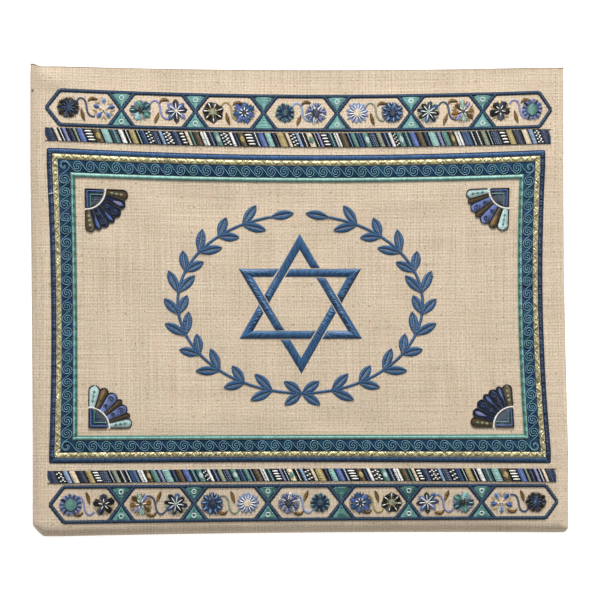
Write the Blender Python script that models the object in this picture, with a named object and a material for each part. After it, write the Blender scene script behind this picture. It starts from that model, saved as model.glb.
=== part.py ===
"""Flat cloth bag for a prayer shawl, lying on its back with its mouth at the top edge.

Metres. +X runs across the bag, +Y from its bottom seam up to its mouth, and +Z out of its
embroidered face. The origin is on the surface that the bag lies on, under its middle.
Two cloth panels meet face to face along the side and bottom seams and stay open at the mouth.
"""

from collections import namedtuple

import bmesh
import bpy
import numpy as np

# The cut of the bag, as a flat pattern. Every place in the pattern is (across, up) from its
# lower left corner, before the stitching drew the cloth in.
PATTERN_WIDTH = 0.350
PATTERN_HEIGHT = 0.305
MIDDLE_ACROSS = 0.1750
MIDDLE_UP = 0.15382

# Cloth. The front is linen on its interlining, and the back is a single lined layer.
FRONT_CLOTH = 0.0014
BACK_CLOTH = 0.0013
HEM_WIDTH = 0.012
HEM_EXTRA = 0.0006

# Height of the seam over the surface, and how the front swells up from it.
SEAM_HEIGHT = 0.0030
SEAM_GAP = 0.0003
SIDE_ROUNDING = 0.009
BOTTOM_ROUNDING = 0.015
EDGE_RISE = 0.0052
SWELL_RISE = 0.0040
SWELL_REACH_SIDE = 0.090
SWELL_REACH_BOTTOM = 0.080
MOUTH_REACH = 0.060
MOUTH_DROP_OF_EDGE = 0.38
MOUTH_DROP_OF_SWELL = 0.35

# The back cloth shows this far past the front at the mouth.
BACK_SHOWS = 0.0007

# The upper left corner stands up a little, where the side seam ends.
CORNER_LIFT = 0.0018
CORNER_LIFT_REACH = 0.0085

# Lower corners: how far each is cut back, and its form, 1 for a straight cut and 2 for round.
LEFT_CORNER_REACH = 0.0085
LEFT_CORNER_FORM = 1.15
RIGHT_CORNER_REACH = 0.0045
RIGHT_CORNER_FORM = 1.8

# The embroidered frame stands out of the linen in four bands, from the outside in: a satin
# cord, a metal cord, a wide band and a light satin cord.
FRAME_LEFT = 0.012
FRAME_RIGHT = 0.336
FRAME_BOTTOM = 0.0476
FRAME_TOP = 0.2505
SHOULDER = 0.0006
FramePoint = namedtuple("FramePoint", "inwards height")
FRAME_SECTION = (
    FramePoint(0.0000, 0.0000),
    FramePoint(0.0006, 0.0006),
    FramePoint(0.0020, 0.0009),
    FramePoint(0.0040, 0.0004),
    FramePoint(0.0055, 0.0008),
    FramePoint(0.0070, 0.0004),
    FramePoint(0.0148, 0.0004),
    FramePoint(0.0165, 0.0008),
    FramePoint(0.0180, 0.0000),
)

# Two strips of slanted bars, one over and one under the frame.
STRIP_LEFT = 0.0105
STRIP_RIGHT = 0.3390
STRIP_HEIGHT = 0.0005
Strip = namedtuple("Strip", "bottom top")
STRIPS = (Strip(0.0358, 0.0444), Strip(0.2554, 0.2638))

# Where the lines of the pattern lie on the finished bag, in metres from the lower left corner
# of the box around it. Each line bends smoothly through its start, middle and end, which are
# at these shares of the width or height, and runs straight past them.
ROWS_BEND_OVER = (0.055, 0.947)
COLUMNS_BEND_OVER = (0.184, 0.787)
Line = namedtuple("Line", "name pattern start middle end")
COLUMNS = (
    Line("left edge", 0.000, 0.00150, 0.00098, 0.00000),
    Line("left of frame, outside", 0.012, 0.01197, 0.01347, 0.01040),
    Line("left of frame, inside", 0.030, 0.03102, 0.03089, 0.02940),
    Line("right of frame, inside", 0.318, 0.31910, 0.31570, 0.31715),
    Line("right of frame, outside", 0.336, 0.33718, 0.33320, 0.33536),
    Line("right edge", 0.350, 0.35000, 0.34772, 0.34690),
)
ROWS = (
    Line("bottom edge", 0.0000, 0.00000, 0.00248, 0.00267),
    Line("lower cartouches, bottom", 0.0105, 0.00943, 0.01145, 0.01243),
    Line("lower cartouches, top", 0.0330, 0.03252, 0.03337, 0.03356),
    Line("lower strip, bottom", 0.0358, 0.03467, 0.03642, 0.03577),
    Line("lower strip, top", 0.0444, 0.04325, 0.04487, 0.04487),
    Line("bottom of frame, outside", 0.0476, 0.04702, 0.04813, 0.04722),
    Line("bottom of frame, inside", 0.0656, 0.06555, 0.06620, 0.06653),
    Line("top of frame, inside", 0.2325, 0.23398, 0.23021, 0.23301),
    Line("top of frame, outside", 0.2505, 0.25252, 0.24764, 0.25102),
    Line("upper strip, bottom", 0.2554, 0.25707, 0.25284, 0.25512),
    Line("upper strip, top", 0.2638, 0.26565, 0.26195, 0.26455),
    Line("upper cartouches, bottom", 0.2658, 0.26747, 0.26373, 0.26598),
    Line("upper cartouches, top", 0.2882, 0.29004, 0.28555, 0.28841),
    Line("top edge", 0.3050, 0.30514, 0.30266, 0.30429),
)

# Soft folds and pulls of the front. Places are in the pattern, the angle turns a fold from
# lying across the bag, and a height below nought is a trough.
Fold = namedtuple("Fold", "across up length width angle height")
SOFT_FOLDS = (
    Fold(0.175, 0.2530, 0.290, 0.006, 0, -0.0005),
    Fold(0.170, 0.0460, 0.300, 0.006, 0, -0.0005),
    Fold(0.100, 0.2760, 0.120, 0.012, 2, 0.0005),
    Fold(0.262, 0.2750, 0.100, 0.012, -3, 0.0004),
    Fold(0.058, 0.1700, 0.110, 0.016, 84, -0.0006),
    Fold(0.296, 0.1300, 0.130, 0.018, 95, -0.0007),
    Fold(0.120, 0.0760, 0.070, 0.010, 6, 0.0006),
    Fold(0.205, 0.0740, 0.060, 0.009, -5, -0.0005),
    Fold(0.175, 0.1500, 0.150, 0.045, 12, 0.0006),
    Fold(0.120, 0.2200, 0.090, 0.012, -4, -0.0005),
    Fold(0.240, 0.2190, 0.080, 0.011, 5, 0.0005),
    Fold(0.012, 0.2980, 0.022, 0.008, -38, 0.0012),
)

# Shares of a rounding at which it gets a line of points, and the spacing of the plain field.
ROUNDING_STEPS = (0.0, 0.04, 0.14, 0.32, 0.60, 1.0)
FRONT_SPACING = 0.017
BACK_SPACING = 0.055

LINEN = (0.64, 0.52, 0.39)
LINEN_BACK = (0.60, 0.49, 0.37)


def bend(first, middle, last, share):
    """Smooth curve through three values, at shares 0, 0.5 and 1."""
    return (
        first * (1 - share) * (1 - 2 * share)
        + 4 * middle * share * (1 - share)
        + last * share * (2 * share - 1)
    )


def laid_along(lines, place, share):
    """Where a pattern place lies on the finished bag, between the table's bent lines."""
    known = [line.pattern for line in lines]
    first = np.interp(place, known, [line.start for line in lines])
    middle = np.interp(place, known, [line.middle for line in lines])
    last = np.interp(place, known, [line.end for line in lines])
    return bend(first, middle, last, share)


def share_between(place, ends):
    return np.clip((place - ends[0]) / (ends[1] - ends[0]), 0, 1)


def smooth_step(share):
    share = np.clip(share, 0, 1)
    return share * share * (3 - 2 * share)


def quarter_round(share):
    """Height of a quarter circle that starts upright, as a share of its radius."""
    return np.sqrt(1 - (1 - np.clip(share, 0, 1)) ** 2)


def cut_corner(inward, up, reach, form):
    """Draws the points near one lower corner back onto a cut or rounded corner."""
    from_side = np.clip(reach - inward, 0, None)
    from_bottom = np.clip(reach - up, 0, None)
    both = (from_side > 0) & (from_bottom > 0)
    from_side, from_bottom = np.where(both, from_side, 0), np.where(both, from_bottom, 0)
    length = (from_side**form + from_bottom**form) ** (1 / form)
    kept = np.where(both, np.maximum(from_side, from_bottom) / np.maximum(length, 1e-9), 1)
    return inward + from_side * (1 - kept), up + from_bottom * (1 - kept)


def laid_out(across, up):
    """The finished place, (x, y), of a place in the flat pattern."""
    inward, raised = cut_corner(across, up, LEFT_CORNER_REACH, LEFT_CORNER_FORM)
    from_right, raised = cut_corner(
        PATTERN_WIDTH - inward, raised, RIGHT_CORNER_REACH, RIGHT_CORNER_FORM
    )
    across = PATTERN_WIDTH - from_right
    x = laid_along(COLUMNS, across, share_between(raised / PATTERN_HEIGHT, COLUMNS_BEND_OVER))
    y = laid_along(ROWS, raised, share_between(across / PATTERN_WIDTH, ROWS_BEND_OVER))
    lift = smooth_step(1 - across / CORNER_LIFT_REACH)
    near_top = smooth_step(1 - (PATTERN_HEIGHT - raised) / CORNER_LIFT_REACH)
    return x - MIDDLE_ACROSS, y + CORNER_LIFT * lift * near_top - MIDDLE_UP


def edge_share(across, up):
    """0 on the seams, rising to 1 where the rounding at the seams ends."""
    side = np.minimum(across, PATTERN_WIDTH - across) / SIDE_ROUNDING
    return np.minimum(side, up / BOTTOM_ROUNDING)


def folds(across, up):
    """Height of the soft folds, each round across its width and flat along its length."""
    height = np.zeros_like(across)
    for fold in SOFT_FOLDS:
        turn = np.radians(fold.angle)
        dx, dy = across - fold.across, up - fold.up
        along = dx * np.cos(turn) + dy * np.sin(turn)
        aside = dy * np.cos(turn) - dx * np.sin(turn)
        shape = np.exp(-((aside / fold.width) ** 2) - (2 * along / fold.length) ** 4)
        height = height + fold.height * shape
    return height * smooth_step(edge_share(across, up))


def front_height(across, up):
    """Height of the linen's outer face over the surface, without the stitching."""
    near_mouth = smooth_step(1 - (PATTERN_HEIGHT - up) / MOUTH_REACH)
    side = np.minimum(across, PATTERN_WIDTH - across) / SWELL_REACH_SIDE
    bottom = up / SWELL_REACH_BOTTOM
    swell = np.sin(np.pi / 2 * np.clip(side, 0, 1)) * np.sin(np.pi / 2 * np.clip(bottom, 0, 1))
    rounding = quarter_round(edge_share(across, up))
    return (
        SEAM_HEIGHT
        + SEAM_GAP / 2
        + EDGE_RISE * (1 - MOUTH_DROP_OF_EDGE * near_mouth) * rounding
        + SWELL_RISE * (1 - MOUTH_DROP_OF_SWELL * near_mouth) * swell
        + folds(across, up)
    )


def back_height(across, up):
    """Height of the back's outer face, flat on the surface and turned up at the seams."""
    return (SEAM_HEIGHT - SEAM_GAP / 2) * (1 - quarter_round(edge_share(across, up)))


def stitched_height(across, up):
    """How far the thick stitching of the frame and the strips stands out of the linen."""
    inwards = np.minimum(
        np.minimum(across - FRAME_LEFT, FRAME_RIGHT - across),
        np.minimum(up - FRAME_BOTTOM, FRAME_TOP - up),
    )
    section = [point.inwards for point in FRAME_SECTION]
    heights = [point.height for point in FRAME_SECTION]
    height = np.interp(inwards, section, heights, left=0, right=0)
    for strip in STRIPS:
        inside = np.minimum(
            np.minimum(across - STRIP_LEFT, STRIP_RIGHT - across),
            np.minimum(up - strip.bottom, strip.top - up),
        )
        height = height + STRIP_HEIGHT * np.clip(inside / SHOULDER, 0, 1)
    return height


def evenly(start, end, spacing):
    """Places between two lines, at about this spacing, without the two themselves."""
    steps = max(1, round((end - start) / spacing))
    return [start + (end - start) * step / steps for step in range(1, steps)]


def front_columns():
    left = [SIDE_ROUNDING * step for step in ROUNDING_STEPS]
    right = [PATTERN_WIDTH - place for place in left]
    inner_left = [FRAME_LEFT + point.inwards for point in FRAME_SECTION]
    inner_right = [FRAME_RIGHT - point.inwards for point in FRAME_SECTION]
    strip_ends = [STRIP_LEFT, STRIP_LEFT + SHOULDER, STRIP_RIGHT - SHOULDER, STRIP_RIGHT]
    field = evenly(inner_left[-1], inner_right[-1], FRONT_SPACING)
    return sorted(left + right + inner_left + inner_right + strip_ends + field)


def front_rows():
    bottom = [BOTTOM_ROUNDING * step for step in ROUNDING_STEPS]
    low = [FRAME_BOTTOM + point.inwards for point in FRAME_SECTION]
    high = [FRAME_TOP - point.inwards for point in FRAME_SECTION]
    strips = []
    for strip in STRIPS:
        strips += [strip.bottom, strip.bottom + SHOULDER, strip.top - SHOULDER, strip.top]
    hem = PATTERN_HEIGHT - HEM_WIDTH
    field = evenly(low[-1], high[-1], FRONT_SPACING)
    field += evenly(bottom[-1], STRIPS[0].bottom, FRONT_SPACING / 2)
    field += evenly(STRIPS[1].top, hem, FRONT_SPACING / 2)
    top = [hem, hem + SHOULDER, PATTERN_HEIGHT - CORNER_LIFT_REACH / 2, PATTERN_HEIGHT]
    return sorted(bottom + low + high + strips + field + top)


def back_columns():
    left = [SIDE_ROUNDING * step for step in ROUNDING_STEPS]
    right = [PATTERN_WIDTH - place for place in left]
    return sorted(left + right + evenly(left[-1], right[-1], BACK_SPACING))


def back_rows():
    bottom = [BOTTOM_ROUNDING * step for step in ROUNDING_STEPS]
    hem = PATTERN_HEIGHT - HEM_WIDTH
    top = [hem, hem + SHOULDER, PATTERN_HEIGHT - CORNER_LIFT_REACH / 2, PATTERN_HEIGHT]
    return sorted(bottom + evenly(bottom[-1], hem, BACK_SPACING) + top)


def unit(vectors):
    return vectors / np.linalg.norm(vectors, axis=-1, keepdims=True)


def level_outwards(edge, turn):
    """Level unit directions out of the bag along one of its edges."""
    along = np.gradient(edge, axis=0)
    outwards = turn * np.stack([along[:, 1], -along[:, 0], np.zeros(len(edge))], axis=-1)
    return unit(outwards)


def outward_normals(points, sign):
    """Unit normals of a grid of points. On the seams they lie level, so that the panel's
    edge there is a level face that the other panel's edge meets."""
    along = np.gradient(points, axis=1)
    upward = np.gradient(points, axis=0)
    normals = sign * np.cross(along, upward)
    left = level_outwards(points[:, 0], -1)
    right = level_outwards(points[:, -1], 1)
    bottom = level_outwards(points[0], 1)
    normals[:, 0], normals[:, -1] = left, right
    normals[0, 1:-1] = bottom[1:-1]
    normals = unit(normals)
    for column, side in ((0, left), (-1, right)):
        mitre = 1 + np.dot(side[0], bottom[column])
        normals[0, column] = (side[0] + bottom[column]) / mitre
    return normals


def hem_thickness(up, cloth):
    """Thickness of the panel, with the hem that is turned in at the mouth."""
    into_hem = (up - (PATTERN_HEIGHT - HEM_WIDTH)) / SHOULDER
    return cloth + HEM_EXTRA * np.clip(into_hem, 0, 1)


def sheet_object(name, outer, inner, colour):
    """One closed solid from the grids of a panel's outer and inner face."""
    rows, columns = outer.shape[:2]
    sheet = bmesh.new()
    layers = []
    for grid in (outer, inner):
        layers.append([[sheet.verts.new(place) for place in row] for row in grid])
    for layer in layers:
        for row in range(rows - 1):
            for column in range(columns - 1):
                sheet.faces.new(
                    (
                        layer[row][column],
                        layer[row][column + 1],
                        layer[row + 1][column + 1],
                        layer[row + 1][column],
                    )
                )
    rim = [(0, column) for column in range(columns - 1)]
    rim += [(row, columns - 1) for row in range(rows - 1)]
    rim += [(rows - 1, column) for column in range(columns - 1, 0, -1)]
    rim += [(row, 0) for row in range(rows - 1, 0, -1)]
    for place, following in zip(rim, rim[1:] + rim[:1]):
        sheet.faces.new(
            (
                layers[0][place[0]][place[1]],
                layers[0][following[0]][following[1]],
                layers[1][following[0]][following[1]],
                layers[1][place[0]][place[1]],
            )
        )
    bmesh.ops.recalc_face_normals(sheet, faces=sheet.faces)
    mesh = bpy.data.meshes.new(name)
    sheet.to_mesh(mesh)
    sheet.free()
    mesh.shade_smooth()
    mesh.set_sharp_from_angle(angle=np.radians(50))
    made = bpy.data.objects.new(name, mesh)
    bpy.context.scene.collection.objects.link(made)
    mesh.materials.append(cloth_material(name + "_cloth", colour))
    return made


def cloth_material(name, colour):
    material = bpy.data.materials.new(name)
    material.use_nodes = True
    shader = material.node_tree.nodes["Principled BSDF"]
    shader.inputs["Base Color"].default_value = (*colour, 1)
    shader.inputs["Roughness"].default_value = 0.9
    shader.inputs["Metallic"].default_value = 0
    return material


def front_panel():
    across, up = np.meshgrid(front_columns(), front_rows())
    x, y = laid_out(across, up)
    linen = np.dstack([x, y, front_height(across, up)])
    thickness = hem_thickness(up, FRONT_CLOTH)[..., None]
    inner = linen - outward_normals(linen, 1) * thickness
    inner[..., 2] = np.maximum(inner[..., 2], SEAM_HEIGHT + SEAM_GAP / 2)
    outer = linen.copy()
    outer[..., 2] += stitched_height(across, up)
    return sheet_object("front_panel", outer, inner, LINEN)


def back_panel():
    across, up = np.meshgrid(back_columns(), back_rows())
    x, y = laid_out(across, up)
    shown = BACK_SHOWS * smooth_step((up - PATTERN_HEIGHT + HEM_WIDTH) / HEM_WIDTH)
    cloth = np.dstack([x, y + shown, back_height(across, up)])
    thickness = hem_thickness(up, BACK_CLOTH)[..., None]
    inner = cloth - outward_normals(cloth, -1) * thickness
    inner[..., 2] = np.minimum(inner[..., 2], SEAM_HEIGHT - SEAM_GAP / 2)
    return sheet_object("back_panel", cloth, inner, LINEN_BACK)


def clear_scene():
    for old in list(bpy.data.objects):
        bpy.data.objects.remove(old, do_unlink=True)


clear_scene()
front_panel()
back_panel()
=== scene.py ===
# %% [markdown]
# # A linen bag for a prayer shawl
# The bag is two linen panels sewn together on three sides, lying on its back. Its front is
# covered with machine embroidery: a frame of cords and scrolls, two strips of slanted bars,
# two bands of six-sided cartouches with flowers, four quarter fans and a motif in the middle.
#
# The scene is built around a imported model, the frame, which already has the true sizes. Here
# each panel gets a fine cloth in its place, and every stitch of the embroidery is a piece of
# real thread that lies on that cloth.

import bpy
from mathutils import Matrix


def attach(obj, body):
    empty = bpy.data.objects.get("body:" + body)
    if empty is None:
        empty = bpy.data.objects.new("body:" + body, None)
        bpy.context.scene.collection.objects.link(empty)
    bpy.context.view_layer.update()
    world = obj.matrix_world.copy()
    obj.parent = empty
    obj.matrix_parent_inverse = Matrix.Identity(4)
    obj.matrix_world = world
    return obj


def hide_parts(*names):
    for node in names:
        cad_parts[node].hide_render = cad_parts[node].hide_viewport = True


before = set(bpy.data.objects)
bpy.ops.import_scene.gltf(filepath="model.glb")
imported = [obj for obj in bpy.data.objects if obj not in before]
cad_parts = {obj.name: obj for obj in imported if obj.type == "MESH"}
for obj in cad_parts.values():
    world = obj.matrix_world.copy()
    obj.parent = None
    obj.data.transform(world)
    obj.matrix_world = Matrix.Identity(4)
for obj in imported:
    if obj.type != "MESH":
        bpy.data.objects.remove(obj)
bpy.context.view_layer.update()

# %% Tools and units
import math
from collections import namedtuple

import bpy
import numpy as np
from mathutils import Vector

MM = 0.001
BODY = "root"


def add_object(name, data):
    """A new object in the scene."""
    made = bpy.data.objects.new(name, data)
    bpy.context.scene.collection.objects.link(made)
    return made


print("one unit of the drawing is", MM, "m")

# %% [markdown]
# ## The camera
# The photograph looks straight down on the bag from far away, so its edges stay parallel. A long
# lens does the same. The distance follows from the width that the picture covers.

# %% Camera over the bag
LENS = 180.0
SENSOR = 36.0
PICTURE_COVERS = 0.3902
SEAMS_AT = 0.003
AIM = (0.0004, -0.0001)
SEES_AS_FAR_AS = 20.0

camera_data = bpy.data.cameras.new("camera")
camera_data.lens = LENS
camera_data.sensor_width = SENSOR
camera = add_object("camera", camera_data)
camera.location = (*AIM, SEAMS_AT + PICTURE_COVERS * LENS / SENSOR)
camera_data.clip_end = SEES_AS_FAR_AS
bpy.context.scene.camera = camera
print("camera at", [round(v, 3) for v in camera.location])

# %% [markdown]
# ## The light and the table
# Soft light comes mostly from the top of the picture, fairly low. It makes each padded cord
# bright along its upper side and dark along its lower side. Large area lamps keep the shadows
# soft, and a pale world fills them.

# %% Lamps, world and floor
Lamp = namedtuple("Lamp", "name place size power")
LAMPS = (
    Lamp("key_from_the_top", (0.35, 3.25, 1.50), 0.9, 250.0),
    Lamp("fill_from_the_left", (-1.6, -0.1, 1.5), 1.2, 5.0),
    Lamp("fill_from_the_right", (1.6, -0.5, 1.6), 1.2, 4.0),
)
WORLD = {"Color": (0.97, 0.98, 1.0, 1.0), "Strength": 0.42}
FLOOR_SIZE = 6.0
FLOOR = {
    "Base Color": (0.93, 0.93, 0.93, 1.0),
    "Roughness": 0.9,
    "Emission Color": (1.0, 1.0, 1.0, 1.0),
    "Emission Strength": 0.55,
}


def set_inputs(node, values):
    for name, value in values.items():
        node.inputs[name].default_value = value


def aim_at_bag(place):
    """Rotation that points a lamp's -Z axis from its place at the middle of the bag."""
    return (-Vector(place)).to_track_quat("-Z", "Y").to_euler()


for lamp in LAMPS:
    data = bpy.data.lights.new(lamp.name, "AREA")
    data.size = lamp.size
    data.energy = lamp.power
    made = add_object(lamp.name, data)
    made.location = lamp.place
    made.rotation_euler = aim_at_bag(lamp.place)

world = bpy.data.worlds.new("studio")
world.use_nodes = True
set_inputs(world.node_tree.nodes["Background"], WORLD)
bpy.context.scene.world = world
bpy.context.scene.view_settings.view_transform = "Standard"

floor_mesh = bpy.data.meshes.new("table_top")
reach = FLOOR_SIZE / 2
floor_mesh.from_pydata(
    [(-reach, -reach, 0), (reach, -reach, 0), (reach, reach, 0), (-reach, reach, 0)],
    [],
    [(0, 1, 2, 3)],
)
floor = add_object("table_top", floor_mesh)
floor_white = bpy.data.materials.new("pale_table")
floor_white.use_nodes = True
set_inputs(floor_white.node_tree.nodes["Principled BSDF"], FLOOR)
floor_mesh.materials.append(floor_white)
print(len(LAMPS), "lamps")

# %% [markdown]
# ## Arithmetic on node sockets
# A weave is a sum of waves, and a thread's arch is a parabola. Written as node links such sums
# are hard to read, so a small class wraps a socket and turns + - * / into Math nodes. The same
# class serves materials and Geometry Nodes, because both use the same Math node.


# %% A wire and a tree of nodes
def sum_of(operation, wire_comes_second=False):
    """A method that adds one Math node. It feeds the wire in first, unless told otherwise."""

    def work(wire, *others):
        values = (*others, wire) if wire_comes_second else (wire, *others)
        return wire.nodes.node("ShaderNodeMath", {"operation": operation}, values)

    return work


class Wire:
    """A node's output. Arithmetic on wires adds the Math nodes that work it out."""

    __add__ = sum_of("ADD")
    __sub__ = sum_of("SUBTRACT")
    __mul__ = sum_of("MULTIPLY")
    __truediv__ = sum_of("DIVIDE")
    __radd__ = sum_of("ADD", wire_comes_second=True)
    __rsub__ = sum_of("SUBTRACT", wire_comes_second=True)
    sine = sum_of("SINE")
    cosine = sum_of("COSINE")
    power = sum_of("POWER")
    larger = sum_of("MAXIMUM")

    def __init__(self, nodes, socket):
        self.nodes = nodes
        self.socket = socket

    def between(self, low, high):
        """0 below low, 1 above high, and a smooth step between them."""
        return self.nodes.node(
            "ShaderNodeMapRange",
            {"interpolation_type": "SMOOTHSTEP"},
            {"Value": self, "From Min": low, "From Max": high},
        )


class Nodes:
    """A node tree under construction."""

    def __init__(self, tree):
        self.tree = tree

    def feed(self, socket, value):
        if isinstance(value, Wire):
            self.tree.links.new(value.socket, socket)
        elif value is not None:
            socket.default_value = value

    def node(self, kind, settings=None, values=(), output=0):
        """Adds a node: its settings first, then its sockets, by place or by name."""
        made = self.tree.nodes.new(kind)
        for name, value in (settings or {}).items():
            setattr(made, name, value)
        places = values.items() if isinstance(values, dict) else enumerate(values)
        for place, value in places:
            self.feed(made.inputs[place], value)
        return Wire(self, made.outputs[output])

    def mix(self, share, first, second, how="MIX"):
        """A colour between two, by share. A Mix node's colour sockets are its last ones."""
        settings = {"data_type": "RGBA", "blend_type": how}
        return self.node("ShaderNodeMix", settings, {0: share, 6: first, 7: second}, 2)


class Finish(Nodes):
    """A material, with its Principled shader ready to be fed."""

    def __init__(self, name, roughness=0.6, sheen=0.0, metallic=0.0, specular=0.5):
        self.material = bpy.data.materials.new(name)
        self.material.use_nodes = True
        super().__init__(self.material.node_tree)
        self.shader = self.tree.nodes["Principled BSDF"]
        constants = {
            "Roughness": roughness,
            "Sheen Weight": sheen,
            "Metallic": metallic,
            "Specular IOR Level": specular,
        }
        set_inputs(self.shader, constants)

    def paint(self, name, value):
        self.feed(self.shader.inputs[name], value)

    def noise(self, where, scale, detail=2.0, dimensions="3D"):
        return self.node(
            "ShaderNodeTexNoise",
            {"noise_dimensions": dimensions},
            {"Vector": where, "Scale": scale, "Detail": detail},
        )

    def stretched(self, where, x, y):
        """A point of the cloth with each direction scaled by itself."""
        return self.node("ShaderNodeVectorMath", {"operation": "MULTIPLY"}, (where, (x, y, 1.0)))

    def bump(self, height, depth, strength=1.0):
        self.paint(
            "Normal",
            self.node(
                "ShaderNodeBump", None, {"Height": height, "Distance": depth, "Strength": strength}
            ),
        )


STUDIO_BRIGHTNESS = 1.22


def srgb(red, green, blue):
    """A colour as the lit picture shows it, 0 to 255, in the linear values that shaders use."""
    shares = np.array([red, green, blue]) / 255
    linear = np.where(shares <= 0.04045, shares / 12.92, ((shares + 0.055) / 1.055) ** 2.4)
    return tuple(float(v) for v in linear / STUDIO_BRIGHTNESS)


print("linen in linear colour", [round(v, 3) for v in srgb(210, 192, 168)])

# %% [markdown]
# ## The flat pattern and the finished bag
# An embroiderer plans on a flat pattern: straight lines, true rectangles. The stitching then
# draws the linen in, so on the finished bag the same lines bow. All drawing here is done on the
# flat pattern, in millimetres from its lower left corner, and one function lays it on the bag.
# Each line bends smoothly through three measured places. The tables started as those of the
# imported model, and a few lines of the frame have been set closer to the photograph since.

# %% Pattern tables
PATTERN_WIDTH = 350.0
PATTERN_HEIGHT = 305.0
MIDDLE_ACROSS = 175.0
MIDDLE_UP = 153.82

ROWS_BEND_OVER = (0.055, 0.947)
COLUMNS_BEND_OVER = (0.184, 0.787)
Line = namedtuple("Line", "name pattern start middle end")
COLUMNS = (
    Line("left edge", 0.0, 1.50, 0.98, 0.00),
    Line("left of frame, outside", 12.0, 11.97, 13.47, 10.40),
    Line("left of frame, inside", 30.0, 31.02, 30.89, 29.40),
    Line("right of frame, inside", 318.0, 320.80, 316.40, 317.40),
    Line("right of frame, outside", 336.0, 338.10, 332.90, 334.50),
    Line("right edge", 350.0, 350.00, 347.72, 346.90),
)
ROWS = (
    Line("bottom edge", 0.0, 0.00, 2.48, 2.67),
    Line("lower cartouches, bottom", 10.5, 9.43, 11.45, 12.43),
    Line("lower cartouches, top", 33.0, 32.52, 33.37, 33.56),
    Line("lower strip, bottom", 35.8, 34.67, 36.42, 35.77),
    Line("lower strip, top", 44.4, 43.25, 44.87, 44.87),
    Line("bottom of frame, outside", 47.6, 47.02, 48.13, 47.22),
    Line("bottom of frame, inside", 65.6, 65.55, 66.20, 66.53),
    Line("top of frame, inside", 232.5, 233.40, 229.50, 232.20),
    Line("top of frame, outside", 250.5, 252.52, 247.64, 251.02),
    Line("upper strip, bottom", 255.4, 257.07, 252.84, 255.12),
    Line("upper strip, top", 263.8, 265.65, 261.95, 264.55),
    Line("upper cartouches, bottom", 265.8, 267.47, 263.73, 265.98),
    Line("upper cartouches, top", 288.2, 290.04, 285.55, 288.41),
    Line("top edge", 305.0, 305.14, 302.66, 304.29),
)

LEFT_CORNER_REACH = 8.5
LEFT_CORNER_FORM = 1.15
RIGHT_CORNER_REACH = 4.5
RIGHT_CORNER_FORM = 1.8
CORNER_LIFT = 1.8
CORNER_LIFT_REACH = 8.5


# %% Lay a place of the pattern on the bag
def bend(first, middle, last, share):
    """Smooth curve through three values, at shares 0, 0.5 and 1."""
    return (
        first * (1 - share) * (1 - 2 * share)
        + 4 * middle * share * (1 - share)
        + last * share * (2 * share - 1)
    )


def laid_along(lines, place, share):
    """Where a pattern place lies on the finished bag, between the table's bent lines."""
    _, known, *measured = zip(*lines)
    return bend(*(np.interp(place, known, values) for values in measured), share)


def share_between(place, ends):
    return np.clip((place - ends[0]) / (ends[1] - ends[0]), 0, 1)


def smooth_step(share):
    share = np.clip(share, 0, 1)
    return share * share * (3 - 2 * share)


def cut_corner(inward, up, reach, form):
    """Draws the points near one lower corner back onto a cut or rounded corner."""
    from_side = np.clip(reach - inward, 0, None)
    from_bottom = np.clip(reach - up, 0, None)
    both = (from_side > 0) & (from_bottom > 0)
    from_side, from_bottom = np.where(both, from_side, 0), np.where(both, from_bottom, 0)
    length = (from_side**form + from_bottom**form) ** (1 / form)
    kept = np.where(both, np.maximum(from_side, from_bottom) / np.maximum(length, 1e-6), 1)
    return inward + from_side * (1 - kept), up + from_bottom * (1 - kept)


def laid_out(across, up):
    """The finished place, (x, y) in metres, of a place in the flat pattern."""
    inward, raised = cut_corner(across, up, LEFT_CORNER_REACH, LEFT_CORNER_FORM)
    from_right, raised = cut_corner(
        PATTERN_WIDTH - inward, raised, RIGHT_CORNER_REACH, RIGHT_CORNER_FORM
    )
    across = PATTERN_WIDTH - from_right
    x = laid_along(COLUMNS, across, share_between(raised / PATTERN_HEIGHT, COLUMNS_BEND_OVER))
    y = laid_along(ROWS, raised, share_between(across / PATTERN_WIDTH, ROWS_BEND_OVER))
    lift = smooth_step(1 - across / CORNER_LIFT_REACH)
    near_top = smooth_step(1 - (PATTERN_HEIGHT - raised) / CORNER_LIFT_REACH)
    y = y + CORNER_LIFT * lift * near_top
    return (x - MIDDLE_ACROSS) * MM, (y - MIDDLE_UP) * MM


print("pattern corner (0, 305) lies at", [round(float(v), 4) for v in laid_out(0.0, 305.0)])

# %% [markdown]
# ## How high the linen lies
# The front swells softly from its seams, drops towards the open mouth, and has a few broad soft
# folds. Dense stitching pulls small puckers into the linen beside it. Each of these is one term
# of a height, so cloth and thread can ask the same function and always meet.

# %% Height of the linen over the table
SEAM_HEIGHT = 3.0
SEAM_GAP = 0.3
SIDE_ROUNDING = 9.0
BOTTOM_ROUNDING = 8.5
EDGE_RISE = 5.2
SWELL_RISE = 4.0
SWELL_REACH_SIDE = 90.0
SWELL_REACH_BOTTOM = 80.0
MOUTH_REACH = 60.0
MOUTH_DROP_OF_EDGE = 0.38
MOUTH_DROP_OF_SWELL = 0.35

FRAME_LEFT, FRAME_RIGHT = 12.6, 336.0
FRAME_BOTTOM, FRAME_TOP = 48.2, 250.5
FRAME_WIDTH = 18.0

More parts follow.
